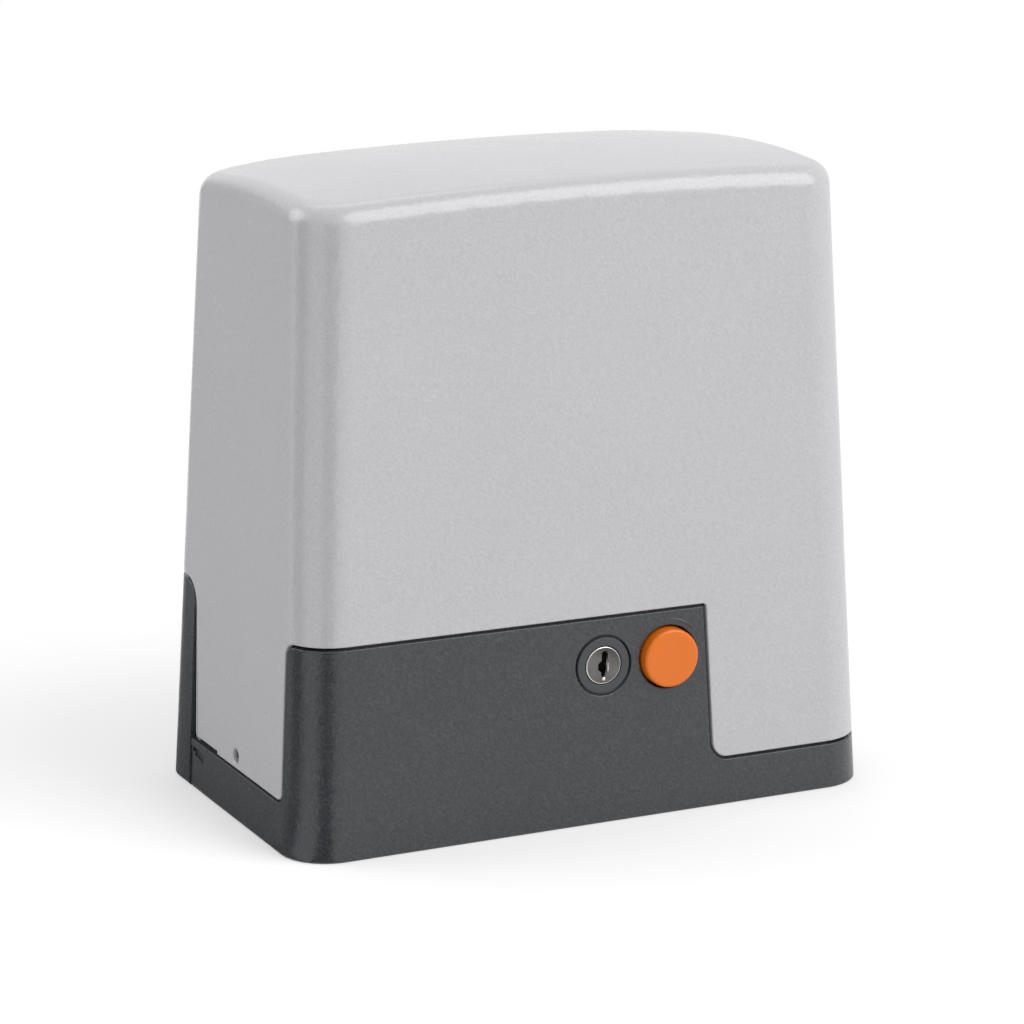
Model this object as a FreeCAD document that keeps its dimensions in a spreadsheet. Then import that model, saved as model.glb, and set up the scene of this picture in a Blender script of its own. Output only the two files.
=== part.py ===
import FreeCAD, Part

# Sliding gate motor: a floor-standing gate operator with a dark base, a light lift-off cover, a vertical
# motor that drives the output pinion through a worm gear, and a keyed push-to-release button.
#
# Frame: X to the right seen from the front, Y from the front to the gate, Z up.
# The origin is the middle of the underside of the base. All sizes are millimetres.

import math
import os

import Sketcher
from FreeCAD import Placement, Rotation, Vector

X_AXIS = Vector(1, 0, 0)
Y_AXIS = Vector(0, 1, 0)
Z_AXIS = Vector(0, 0, 1)

# The driving dimensions, one spreadsheet cell each. Drafts are millimetres inwards per millimetre of height.
SIZES = {
    # Outer form
    "body_width": 300.0,
    "body_depth": 175.0,
    "body_height": 307.0,
    "side_draft": 0.043,
    "front_draft": 0.044,
    "rear_draft": 0.05,
    "corner_radius": 23.4,
    "crown_radius_x": 2250.0,
    "crown_radius_y": 580.0,
    "crown_shift": 12.0,
    "top_fillet": 10.7,
    # Cover and the joint line between cover and base
    "cover_wall": 2.5,
    "split_gap": 0.8,
    "sill_height": 24.2,
    "wall_height": 100.0,
    "tab_corner": 7.5,
    "step_corner": 0.8,
    "post_depth": 23.6,
    "post_corner": 5.0,
    "panel_corner": 4.5,
    "rear_edge_depth": 44.2,
    "rear_edge_slope": 0.045,
    "rear_panel_height": 101.5,
    "rear_panel_corner": 12.0,
    "pry_gap": 1.5,
    "pry_start": 40.0,
    "pry_end": 16.0,
    # Base
    "base_wall": 4.5,
    "floor_thickness": 4.0,
    "lip_gap": 0.5,
    "lip_rise": 5.0,
    "foot_edge": 1.2,
    "panel_depth": 37.2,
    "panel_gap": 0.3,
    "seam_draft": 0.035,
    "seam_cover": 6.5,
    "panel_ledge": 14.0,
    "ledge_width": 22.0,
    "ledge_x": 96.0,
    "channel_width": 17.0,
    "channel_depth": 0.6,
    "pocket_depth": 2.0,
    "pocket_height": 5.0,
    "channel_top": 20.0,
    # Foot slots and cable entry
    "slot_spacing_x": 220.0,
    "slot_spacing_y": 90.0,
    "slot_length": 26.0,
    "slot_width": 11.0,
    "cable_inset": 80.0,
    "cable_y": 56.0,
    "cable_hole_radius": 14.0,
    "grommet_bore": 10.0,
    "grommet_flange": 3.0,
    "grommet_rise": 5.0,
    # Cover screws and their lugs
    "cover_screw_y": -7.6,
    "cover_screw_z": 31.1,
    "cover_screw_radius": 2.0,
    "cover_screw_head": 2.9,
    "cover_screw_recess": 1.2,
    "cover_boss_radius": 6.0,
    "cover_boss_depth": 6.0,
    "lug_gap": 0.4,
    "lug_thickness": 4.0,
    "lug_width": 18.0,
    "lug_height": 38.0,
    "cover_nut_thickness": 3.0,
    # Output axis, lock and release button
    "shaft_share": 0.133333,
    "shaft_z": 76.2,
    "button_margin": 22.8,
    "lock_spacing": 34.0,
    "button_radius": 14.3,
    "button_proud": 4.3,
    "button_depth": 8.5,
    "button_skin": 2.5,
    "button_rim": 1.4,
    "button_gap": 0.35,
    "button_travel": 4.0,
    "well_wall": 2.5,
    "well_floor": 3.0,
    "stem_radius": 5.0,
    "guide_length": 9.0,
    "guide_wall": 3.0,
    "running_gap": 0.05,
    "clip_thickness": 1.0,
    "clip_width": 3.0,
    "spring_radius": 8.2,
    "spring_wire": 0.7,
    "spring_turns": 4.0,
    "rod_radius": 3.0,
    "lock_ring_radius": 14.0,
    "lock_ring_gap": 0.2,
    "lock_ring_depth": 2.0,
    "lock_face_radius": 9.4,
    "lock_face_depth": 3.0,
    "lock_barrel_radius": 11.5,
    "lock_barrel_length": 26.0,
    "lock_plug_radius": 7.5,
    "lock_nut_width": 26.0,
    "lock_nut_thickness": 5.0,
    "lock_boss_depth": 6.0,
    "keyway_width": 2.4,
    "keyway_height": 11.0,
    "keyway_depth": 14.0,
    "cam_length": 17.0,
    "cam_width": 11.0,
    "cam_thickness": 2.5,
    # Worm gear set
    "wheel_module": 2.0,
    "wheel_teeth": 40,
    "wheel_width": 16.0,
    "wheel_y": 24.0,
    "wheel_hub_radius": 20.0,
    "wheel_hub_width": 19.0,
    "worm_pitch_radius": 12.0,
    "worm_length": 46.0,
    "mesh_backlash": 0.35,
    # Output shaft and pinion
    "shaft_radius": 10.0,
    "seat_radius": 12.0,
    "collar_radius": 14.5,
    "collar_width": 6.0,
    "key_width": 6.0,
    "key_height": 6.0,
    "key_length": 14.0,
    "circlip_width": 1.2,
    "circlip_reach": 2.6,
    "pinion_module": 4.0,
    "pinion_teeth": 18,
    "pinion_width": 22.0,
    "pinion_stand_off": 5.5,
    "pinion_seat_radius": 9.0,
    "pinion_hub_radius": 16.0,
    "washer_radius": 13.0,
    "washer_thickness": 2.5,
    "bolt_radius": 4.0,
    "bolt_length": 18.0,
    "bolt_head_width": 13.0,
    "bolt_head_height": 5.3,
    # Bearings and seal: outer radius and width
    "front_bearing_outer": 21.0,
    "front_bearing_width": 12.0,
    "rear_bearing_outer": 23.5,
    "rear_bearing_width": 14.0,
    "seal_outer": 17.0,
    "seal_width": 6.0,
    "low_bearing_outer": 11.0,
    "low_bearing_width": 7.0,
    "low_journal_radius": 4.0,
    "mid_bearing_outer": 16.0,
    "mid_bearing_width": 10.0,
    "rotor_shaft_radius": 6.0,
    # Gearbox casting
    "chamber_gap": 3.5,
    "gearbox_wall": 6.0,
    "gearbox_side_gap": 3.0,
    "lid_thickness": 7.0,
    "lid_boss_wall": 5.0,
    "nose_radius": 30.0,
    "snout_radius": 21.0,
    "tower_radius": 22.0,
    "foot_height": 9.0,
    "foot_margin": 12.0,
    "flange_radius": 51.0,
    "flange_thickness": 8.0,
    "lid_screw_steps": 6,
    "lid_screw_grip": 10.0,
    "lid_screw_radius": 2.0,
    "foot_screw_radius": 3.0,
    # Motor
    "motor_base_rise": 62.0,
    "can_radius": 44.0,
    "can_wall": 2.0,
    "can_length": 96.0,
    "stator_length": 52.0,
    "rotor_radius": 24.0,
    "air_gap": 0.4,
    "winding_inner": 27.0,
    "winding_outer": 38.0,
    "winding_height": 14.0,
    "shield_thickness": 6.0,
    "shield_boss_height": 8.0,
    "tie_rod_radius": 2.5,
    "tie_ear_radius": 6.0,
    "encoder_radius": 12.0,
    "encoder_thickness": 3.0,
    # Electronics
    "board_x": 34.0,
    "board_y": -50.0,
    "board_z": 128.0,
    "board_width": 150.0,
    "board_height": 104.0,
    "board_thickness": 1.6,
    "tray_margin": 6.0,
    "tray_thickness": 3.0,
    "tray_standoff": 5.0,
    "tray_leg_width": 14.0,
    "tray_leg_inset": 24.0,
    "tray_toe": 14.0,
    "board_screw_radius": 1.6,
    "board_screw_inset": 5.0,
    "board_part_gap": 4.0,
    "terminal_height": 12.0,
    "terminal_depth": 11.0,
    "terminal_inset": 14.0,
    "relay_width": 19.0,
    "relay_height": 16.0,
    "relay_depth": 15.0,
    "relay_inset": 18.0,
    "relay_drop": 34.0,
    "fuse_length": 24.0,
    "fuse_radius": 3.2,
    "fuse_inset": 22.0,
    "filter_radius": 6.5,
    "filter_height": 18.0,
    "filter_inset": 66.0,
    "filter_drop": 28.0,
    "chip_width": 14.0,
    "chip_thickness": 2.0,
    "chip_inset": 58.0,
    # Transformer and capacitor
    "transformer_inset": 46.0,
    "transformer_y": -5.0,
    "core_width": 48.0,
    "core_height": 42.0,
    "core_depth": 24.0,
    "core_leg": 8.0,
    "core_centre_leg": 16.0,
    "coil_overhang": 9.0,
    "bracket_thickness": 1.5,
    "bracket_foot": 10.0,
    "capacitor_inset": 28.0,
    "capacitor_y": 22.0,
    "capacitor_radius": 17.5,
    "capacitor_height": 68.0,
    "strap_width": 12.0,
    "strap_thickness": 1.5,
    "small_screw_radius": 2.0,
}


class Size:
    """A length with the spreadsheet formula that it comes from."""

    def __init__(self, value, formula):
        self.value = float(value)
        self.formula = formula

    def __float__(self):
        return self.value

    def __neg__(self):
        return Size(-self.value, f"-({self.formula})")

    def __add__(self, other):
        return Size(self.value + float(other), f"{self.formula} + {formula_of(other)}")

    def __radd__(self, other):
        return Size(float(other) + self.value, f"{formula_of(other)} + {self.formula}")

    def __sub__(self, other):
        return Size(self.value - float(other), f"{self.formula} - ({formula_of(other)})")

    def __rsub__(self, other):
        return Size(float(other) - self.value, f"{formula_of(other)} - ({self.formula})")

    def __mul__(self, other):
        return Size(self.value * float(other), f"({self.formula}) * ({formula_of(other)})")

    __rmul__ = __mul__

    def __truediv__(self, other):
        return Size(self.value / float(other), f"({self.formula}) / ({formula_of(other)})")


def formula_of(length):
    """The text of a length in a spreadsheet formula."""
    return length.formula if isinstance(length, Size) else repr(float(length))


class Sheet:
    """The spreadsheet: each driving dimension is read as an attribute."""

    def __init__(self, document, sizes):
        self.cells = document.addObject("Spreadsheet::Sheet", "Sizes")
        for row, (name, value) in enumerate(sizes.items(), start=1):
            self.cells.set(f"A{row}", name.replace("_", " "))
            self.cells.set(f"B{row}", str(value))
            self.cells.setAlias(f"B{row}", name)
        document.recompute()

    def __getattr__(self, name):
        return Size(self.cells.get(name), f"Sizes.{name}")


doc = FreeCAD.newDocument("SlidingGateMotor")
S = Sheet(doc, SIZES)

# Places that several pieces share.
SHAFT_X = S.body_width * S.shaft_share
LOCK_X = SHAFT_X - S.lock_spacing
CABLE_X = S.cable_inset - S.body_width / 2
TRANSFORMER_X = S.transformer_inset - S.body_width / 2
CAPACITOR_X = S.body_width / 2 - S.capacitor_inset
FRONT_FACE = -(S.body_depth / 2 - S.front_draft * S.shaft_z)
REAR_FACE = S.body_depth / 2 - S.rear_draft * S.shaft_z
BUTTON_FACE = FRONT_FACE - S.button_proud
BUTTON_BACK = BUTTON_FACE + S.button_depth
WELL_FLOOR_FACE = BUTTON_BACK + S.button_travel + S.button_gap
GUIDE_START = WELL_FLOOR_FACE + S.well_floor
GUIDE_END = GUIDE_START + S.guide_length
WHEEL_PITCH_RADIUS = S.wheel_module * S.wheel_teeth / 2
WHEEL_TIP_RADIUS = WHEEL_PITCH_RADIUS + S.wheel_module
WORM_X = SHAFT_X - WHEEL_PITCH_RADIUS - S.worm_pitch_radius
CHAMBER_RADIUS = WHEEL_TIP_RADIUS + S.chamber_gap
DRUM_RADIUS = CHAMBER_RADIUS + S.gearbox_wall
CHAMBER_FRONT = S.wheel_y - S.wheel_hub_width / 2 - S.gearbox_side_gap
CHAMBER_REAR = S.wheel_y + S.wheel_hub_width / 2 + S.collar_width + S.gearbox_side_gap
LID_FRONT = CHAMBER_FRONT - S.lid_thickness
LID_BOSS_FRONT = CHAMBER_FRONT - S.front_bearing_width - S.lid_boss_wall / 2
GEARBOX_REAR = CHAMBER_REAR + S.gearbox_wall + 1
NOSE_END = REAR_FACE
NOSE_STEP = REAR_FACE - S.base_wall - 3 * S.lip_gap
SEAL_FACE = NOSE_END - S.seal_width
REAR_BEARING_FACE = SEAL_FACE - S.rear_bearing_width
PINION_FACE = REAR_FACE + S.pinion_stand_off
PINION_END = PINION_FACE + S.pinion_width
FLANGE_TOP = S.shaft_z + S.motor_base_rise
FLANGE_UNDER = FLANGE_TOP - S.flange_thickness
MID_BEARING_UNDER = FLANGE_TOP - S.mid_bearing_width
WORM_LOW = S.shaft_z - S.worm_length / 2
LOW_BEARING_UNDER = S.shaft_z - DRUM_RADIUS + S.gearbox_wall
TOWER_LOW = LOW_BEARING_UNDER - S.gearbox_wall
FOOT_TOP = S.floor_thickness + S.foot_height
STATOR_LOW = FLANGE_TOP + S.winding_height + 3
STATOR_TOP = STATOR_LOW + S.stator_length
CAN_TOP = FLANGE_TOP + S.can_length
SHIELD_TOP = CAN_TOP + S.shield_thickness
TIE_RADIUS = S.can_radius + S.tie_rod_radius + 2.5
BOARD_REAR = S.board_y + S.board_thickness
TRAY_FRONT = BOARD_REAR + S.tray_standoff
TRAY_REAR = TRAY_FRONT + S.tray_thickness

LOCK_BOSS_FACE = FRONT_FACE + S.base_wall + S.lock_boss_depth
STEM_END = GUIDE_END + 2 * S.split_gap + S.clip_thickness + 2
FOOT_LEFT = WORM_X - S.tower_radius - S.foot_margin
FOOT_RIGHT = SHAFT_X + DRUM_RADIUS
FOOT_FRONT = LID_FRONT - S.foot_margin
FOOT_REAR = GEARBOX_REAR + S.foot_margin


def corners(low_x, high_x, low_y, high_y, inset):
    """Four screw places inside the corners of a rectangle."""
    return [(float(x), float(y)) for x in (low_x + inset, high_x - inset)
            for y in (low_y + inset, high_y - inset)]


GEARBOX_SCREWS = corners(FOOT_LEFT, FOOT_RIGHT, FOOT_FRONT, FOOT_REAR, 6)
TRAY_LEGS = [float(S.board_x) + side * float(S.board_width / 2 - S.tray_leg_inset) for side in (-1, 1)]
TRAY_SCREWS = [(x, float(TRAY_FRONT - S.tray_toe / 2)) for x in TRAY_LEGS]
TRANSFORMER_SCREWS = [(float(TRANSFORMER_X) + side * float(S.core_width + S.bracket_foot) / 2,
                       float(S.transformer_y)) for side in (-1, 1)]
CAPACITOR_SCREWS = [(float(CAPACITOR_X), float(S.capacitor_y - S.capacitor_radius) - 8)]
PANEL_SCREWS = [(side * float(S.ledge_x), float(S.body_depth / 2 - S.base_wall - S.panel_ledge / 2))
                for side in (-1, 1)]

NODES = {}


def node(name, item):
    """Register a finished piece under the name of its node."""
    item.Label = name
    NODES[name] = item
    return item


# ---------------------------------------------------------------- helpers: bound primitives and bodies

def link(item, prop, length):
    """Bind one property to the sheet, or set it where it is a plain number."""
    if isinstance(length, Size):
        item.setExpression(prop, length.formula)
    else:
        parts = prop.split(".")
        if len(parts) == 1:
            setattr(item, prop, length)
        else:
            item.setExpression(prop, repr(float(length)))


def place(item, at, axis=Z_AXIS, turn=None):
    """Put an item's own origin at a point, its Z axis along an axis."""
    rotation = turn or Rotation(Z_AXIS, axis)
    item.Placement = Placement(Vector(*at), rotation)
    for letter, length in zip("xyz", at):
        link(item, f".Placement.Base.{letter}", length)
    return item


def cylinder(name, radius, length, at, axis=Z_AXIS):
    """A bound cylinder from a point along an axis."""
    item = doc.addObject("Part::Cylinder", name)
    link(item, "Radius", radius)
    link(item, "Height", length)
    return place(item, at, axis)


def box(name, size, at):
    """A bound box with its low corner at a point."""
    item = doc.addObject("Part::Box", name)
    for prop, length in zip(("Length", "Width", "Height"), size):
        link(item, prop, length)
    return place(item, at)


def hexagon(name, width, length, at, axis=Z_AXIS):
    """A bound hexagonal prism of a width across its flats."""
    item = doc.addObject("Part::Prism", name)
    item.Polygon = 6
    link(item, "Circumradius", width / math.sqrt(3))
    link(item, "Height", length)
    return place(item, at, axis)


def fuse(name, *items):
    """Join items into one solid."""
    joined = doc.addObject("Part::MultiFuse", name)
    joined.Shapes = list(items)
    joined.Refine = True
    return joined


def cut(name, base, *tools):
    """Take tools away from a base."""
    result = doc.addObject("Part::Cut", name)
    result.Base = base
    result.Tool = tools[0] if len(tools) == 1 else fuse(name + "_tools", *tools)
    return result


def group(name, items):
    """Identical separate solids that share one node."""
    compound = doc.addObject("Part::Compound", name)
    compound.Links = list(items)
    return compound


def feature(name, shape):
    """A piece whose shape is worked out by Part's own functions."""
    item = doc.addObject("Part::Feature", name)
    item.Shape = shape
    return item


def plane_of(body, role):
    """One of a body's own origin planes or axes."""
    return next(item for item in body.Origin.OriginFeatures if item.Role == role)


def turned(name, profile, at, axis=Z_AXIS):
    """A turned piece: a closed profile of (radius, height) corners, revolved about the body's Z axis."""
    body = doc.addObject("PartDesign::Body", name)
    sketch = body.newObject("Sketcher::SketchObject", name + "_profile")
    sketch.AttachmentSupport = [(plane_of(body, "XZ_Plane"), "")]
    sketch.MapMode = "FlatFace"
    corners = [Vector(float(radius), float(height), 0) for radius, height in profile]
    count = len(corners)
    for index, start in enumerate(corners):
        sketch.addGeometry(Part.LineSegment(start, corners[(index + 1) % count]), False)
    for index in range(count):
        sketch.addConstraint(Sketcher.Constraint("Coincident", index, 2, (index + 1) % count, 1))
    for index, (radius, height) in enumerate(profile):
        for kind, axis_line, length in (("DistanceX", -2, radius), ("DistanceY", -1, height)):
            if float(length) == 0.0:
                sketch.addConstraint(Sketcher.Constraint("PointOnObject", index, 1, axis_line))
                continue
            row = sketch.addConstraint(Sketcher.Constraint(kind, -1, 1, index, 1, float(length)))
            if isinstance(length, Size):
                sketch.setExpression(f"Constraints[{row}]", length.formula)
    revolution = body.newObject("PartDesign::Revolution", name + "_turning")
    revolution.Profile = sketch
    revolution.ReferenceAxis = (sketch, ["V_Axis"])
    revolution.Angle = 360
    return place(body, at, axis)


def ring(name, inner, outer, width, at, axis=Z_AXIS):
    """A plain turned ring."""
    return turned(name, [(inner, 0), (outer, 0), (outer, width), (inner, width)], at, axis)


# ---------------------------------------------------------------- helpers: outlines with rounded corners

def rounded_outline(points):
    """A closed flat wire in XY through (x, y, corner radius) points."""
    corners = [Vector(float(x), float(y), 0) for x, y, _ in points]
    count = len(points)
    ends = []
    edges = []
    for index, (_, _, radius) in enumerate(points):
        corner = corners[index]
        before = (corners[index - 1] - corner).normalize()
        after = (corners[(index + 1) % count] - corner).normalize()
        radius = float(radius)
        if radius <= 0:
            ends.append((corner, corner))
            continue
        half_angle = before.getAngle(after) / 2
        setback = radius / math.tan(half_angle)
        inwards = (before + after).normalize()
        middle = corner + inwards * (radius / math.sin(half_angle) - radius)
        start, end = corner + before * setback, corner + after * setback
        edges.append(Part.Arc(start, middle, end).toShape())
        ends.append((start, end))
    for index in range(count):
        start, end = ends[index][1], ends[(index + 1) % count][0]
        if start.distanceToPoint(end) > 1e-6:
            edges.append(Part.LineSegment(start, end).toShape())
    return Part.Wire(Part.__sortEdges__(edges))


def prism(points, plane, low, high):
    """A prism of a rounded outline, drawn in the XY, XZ or YZ plane, between two depths."""
    face = Part.Face(rounded_outline(points))
    turns = {"XY": Rotation(), "XZ": Rotation(X_AXIS, 90), "YZ": Rotation(Vector(1, 1, 1), 120)}
    depth = {"XY": Z_AXIS, "XZ": Y_AXIS, "YZ": X_AXIS}[plane]
    face.Placement = Placement(depth * float(low), turns[plane])
    return face.extrude(depth * (float(high) - float(low)))


def body_section(height, margin):
    """The outline of the tapered body at a height, pulled in by a margin."""
    half = S.body_width / 2 - S.side_draft * height - margin
    front = -(S.body_depth / 2 - S.front_draft * height - margin)
    rear = S.body_depth / 2 - S.rear_draft * height - margin
    radius = S.corner_radius - margin
    wire = rounded_outline([(half, rear, radius), (-half, rear, radius),
                            (-half, front, radius), (half, front, radius)])
    wire.translate(Z_AXIS * float(height))
    return wire


def tapered_block(low, high, margin=0):
    """The tapered body between two heights, pulled in by a margin."""
    return Part.makeLoft([body_section(low, margin), body_section(high, margin)], True, True)


def crown_block(margin):
    """The space under the domed top, lowered by a margin: an arc turned about a low cross axis."""
    top = float(S.body_height - margin)
    axis_height = float(S.body_height - S.crown_radius_y)
    reach = float(S.body_width)
    drop = reach ** 2 / (2 * float(S.crown_radius_x))
    arc = Part.Arc(Vector(-reach, 0, top - drop), Vector(0, 0, top), Vector(reach, 0, top - drop)).toShape()
    foot = [Vector(reach, 0, top - drop), Vector(reach, 0, axis_height),
            Vector(-reach, 0, axis_height), Vector(-reach, 0, top - drop)]
    face = Part.Face(Part.Wire([arc] + [Part.LineSegment(a, b).toShape() for a, b in zip(foot, foot[1:])]))
    face.rotate(Vector(0, 0, axis_height), X_AXIS, 90)
    barrel = face.revolve(Vector(0, 0, axis_height), X_AXIS, -180)
    barrel.translate(Y_AXIS * -float(S.crown_shift))
    return barrel


def bar(radius, start, end):
    """A round bar between two points."""
    start, end = Vector(*start), Vector(*end)
    return Part.makeCylinder(float(radius), start.distanceToPoint(end), start, end - start)


def block(low, high):
    """A box between two opposite corners."""
    low, high = Vector(*low), Vector(*high)
    size = high - low
    return Part.makeBox(size.x, size.y, size.z, low)


# ---------------------------------------------------------------- the joint between cover, base and rear panel

REACH = float(S.body_width)
SCREW_HEAD = S.cover_screw_radius
SIDE_AT_SCREW = S.body_width / 2 - S.side_draft * S.cover_screw_z
SCREW_SEAT = SIDE_AT_SCREW - S.cover_screw_recess - SCREW_HEAD
SEAM_LOW = S.body_depth / 2 - S.panel_depth


def side_outline(gap, post, rear):
    """The joint line seen from the side, closed far below, opened up by a gap.

    With post, it climbs to the raised front wall; with rear, to the top of the rear panel.
    """
    sill = S.sill_height + gap
    inner_corner = S.panel_corner + S.split_gap - gap
    points = [(-REACH, -REACH, 0), (REACH, -REACH, 0)]
    if rear:
        top = S.rear_panel_height + gap
        edge_low = S.body_depth / 2 - S.rear_edge_depth
        edge_top = edge_low + S.rear_edge_slope * (top - sill)
        points += [(REACH, top, 0), (edge_top, top, S.rear_panel_corner + gap), (edge_low, sill, inner_corner)]
    else:
        points += [(REACH, sill, 0)]
    if post:
        edge = S.post_depth - S.body_depth / 2 + gap
        split = S.wall_height + gap
        points += [(edge, sill, inner_corner), (edge, split, S.post_corner + gap), (-REACH, split, 0)]
    else:
        points += [(-REACH, sill, 0)]
    return points


def step_outline(gap):
    """The joint line seen from the front: the raised wall on the left, the sill on the right."""
    sill = S.sill_height + gap
    split = S.wall_height + gap
    low = SHAFT_X + S.button_margin + gap
    top = low - S.side_draft * (split - sill)
    return [(-REACH, -REACH, 0), (REACH, -REACH, 0), (REACH, sill, 0),
            (low, sill, S.tab_corner + S.split_gap - gap), (top, split, S.step_corner + gap), (-REACH, split, 0)]


def joint_zone(gap, rear=False):
    """Everything below the joint line, opened up by a gap."""
    left = prism(side_outline(gap, True, rear), "YZ", -REACH, REACH)
    front = prism(step_outline(gap), "XZ", -REACH, REACH)
    right = prism(side_outline(gap, False, rear), "YZ", -REACH, REACH)
    return left.common(front).fuse(right).removeSplitter()


def behind_seam(gap, top, corner):
    """The space of the rear panel: behind the leaning seam, up to a height."""
    edge = SEAM_LOW + gap
    return prism([(edge + S.seam_draft * REACH, -REACH, 0), (REACH, -REACH, 0), (REACH, top, 0),
                  (edge - S.seam_draft * top, top, corner)], "YZ", -REACH, REACH)


def domed_body(margin):
    """The whole outer form pulled in by a margin, with its top edge rounded."""
    body = tapered_block(0, S.body_height + 5, margin).common(crown_block(margin))
    rim_height = float(S.body_height) * 0.85
    rim = [edge for edge in body.Edges if edge.BoundBox.ZMin > rim_height]
    return body.makeFillet(float(S.top_fillet - margin), rim)


def make_cover_shell():
    """The light cover: a domed tapered shell, cut away where the base and the rear panel rise."""
    outer = domed_body(0)
    inner = domed_body(S.cover_wall)
    shell = outer.cut(inner).cut(joint_zone(S.split_gap, rear=True))
    for side in (-1, 1):
        beyond = side * REACH / 2
        at = (float(S.cover_screw_y), float(S.cover_screw_z))
        boss_face = (SIDE_AT_SCREW - S.cover_boss_depth) * side
        boss = bar(S.cover_boss_radius, (beyond, *at), (float(boss_face), *at)).common(outer)
        recess = bar(S.cover_screw_head + S.lip_gap, (beyond, *at), (float(SCREW_SEAT * side), *at))
        hole = bar(S.cover_screw_radius, (beyond, *at), (0, *at))
        shell = shell.fuse(boss).cut(recess).cut(hole)
        notch = block((min(0, beyond), float(S.pry_end), float(S.sill_height)),
                      (max(0, beyond), float(S.pry_start), float(S.sill_height + S.split_gap + S.pry_gap)))
        shell = shell.cut(notch)
    return shell.removeSplitter()


def cover_lug(side):
    """An upright lug inside the sill, with a slot open at its top for a cover screw."""
    outer = SIDE_AT_SCREW - S.cover_boss_depth - S.lug_gap
    inner = outer - S.lug_thickness
    low_y = S.cover_screw_y - S.lug_width / 2
    plate = block((inner, low_y, 0), (outer, low_y + S.lug_width, S.lug_height))
    foot = block((inner, low_y, 0), (outer + S.base_wall, low_y + S.lug_width, S.sill_height - 3))
    slot_radius = S.cover_screw_radius + S.split_gap / 2
    at = (float(S.cover_screw_y), float(S.cover_screw_z))
    slot = bar(slot_radius, (0, *at), (REACH, *at))
    mouth = block((0, S.cover_screw_y - slot_radius, S.cover_screw_z),
                  (REACH, S.cover_screw_y + slot_radius, REACH))
    lug = plate.fuse(foot).cut(slot).cut(mouth)
    return lug if side > 0 else lug.mirror(Vector(), X_AXIS)


def slot_outline(centre_x, centre_y):
    """One foot slot, long along X, with round ends."""
    half, radius = S.slot_length / 2, S.slot_width / 2
    return [(centre_x + dx * half, centre_y + dy * radius, radius)
            for dx, dy in ((-1, -1), (1, -1), (1, 1), (-1, 1))]


def screw_holes(places, radius, low=0.8):
    """Blind holes in the floor for screws at (x, y) places."""
    return [bar(radius, (x, y, low), (x, y, float(S.floor_thickness) + 1)) for x, y in places]


def make_base_housing():
    """The dark base: floor, sill, raised front wall, button well, lock boss, cover lugs."""
    top = S.wall_height + S.lip_rise + 5
    outer = tapered_block(0, top)
    foot_edges = [edge for edge in outer.Edges if edge.BoundBox.ZMax < 0.1]
    outer = outer.makeFillet(float(S.foot_edge), foot_edges)
    ahead = block((-REACH, -REACH, -REACH), (REACH, REACH, REACH)).cut(behind_seam(0, REACH, 0))
    wall = outer.common(joint_zone(0)).common(ahead)
    lip = tapered_block(S.sill_height / 2, top, S.cover_wall + S.lip_gap).common(joint_zone(S.lip_rise))
    lip_end = S.body_depth / 2 - S.rear_edge_depth - 1
    lip = lip.common(block((-REACH, -REACH, 0), (REACH, lip_end, REACH)))
    lug_gap = S.cover_boss_radius + 1
    lip = lip.cut(block((-REACH, S.cover_screw_y - lug_gap, S.sill_height),
                        (REACH, S.cover_screw_y + lug_gap, REACH)))
    base = wall.fuse(lip).cut(tapered_block(S.floor_thickness, top + 1, S.base_wall))
    base = base.fuse(tapered_block(0, S.floor_thickness, S.base_wall + S.panel_gap))

    front = (SHAFT_X, FRONT_FACE - S.button_proud, S.shaft_z)
    well = bar(S.button_radius + S.button_gap + S.well_wall, front, (SHAFT_X, GUIDE_START, S.shaft_z))
    guide = bar(S.stem_radius + S.guide_wall, front, (SHAFT_X, GUIDE_END, S.shaft_z))
    lock_front = (LOCK_X, FRONT_FACE - S.button_proud, S.shaft_z)
    lock_rear = (LOCK_X, LOCK_BOSS_FACE, S.shaft_z)
    boss = bar(S.lock_ring_radius + S.well_wall, lock_front, lock_rear)
    for solid in (well, guide, boss):
        base = base.fuse(solid.common(outer))
    for side in (-1, 1):
        base = base.fuse(cover_lug(side).common(outer))
    cuts = [bar(S.button_radius + S.button_gap, front, (SHAFT_X, WELL_FLOOR_FACE, S.shaft_z)),
            bar(S.stem_radius + S.running_gap, front, (SHAFT_X, GUIDE_END + 1, S.shaft_z)),
            bar(S.lock_ring_radius, lock_front, (LOCK_X, FRONT_FACE + S.lock_ring_depth, S.shaft_z)),
            bar(S.lock_barrel_radius, lock_front, (LOCK_X, LOCK_BOSS_FACE + 1, S.shaft_z)),
            bar(S.cable_hole_radius, (CABLE_X, S.cable_y, -1), (CABLE_X, S.cable_y, S.floor_thickness + 1))]
    for side_x in (-1, 1):
        for side_y in (-1, 1):
            outline = slot_outline(S.slot_spacing_x / 2 * side_x, S.slot_spacing_y / 2 * side_y)
            cuts.append(prism(outline, "XY", -1, S.floor_thickness + 1))
    cuts += screw_holes(GEARBOX_SCREWS, S.foot_screw_radius)
    floor_screws = TRAY_SCREWS + TRANSFORMER_SCREWS + CAPACITOR_SCREWS + PANEL_SCREWS
    cuts += screw_holes(floor_screws, S.small_screw_radius)
    for tool in cuts:
        base = base.cut(tool)
    return base.cut(side_channels(outer)).removeSplitter()


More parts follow.
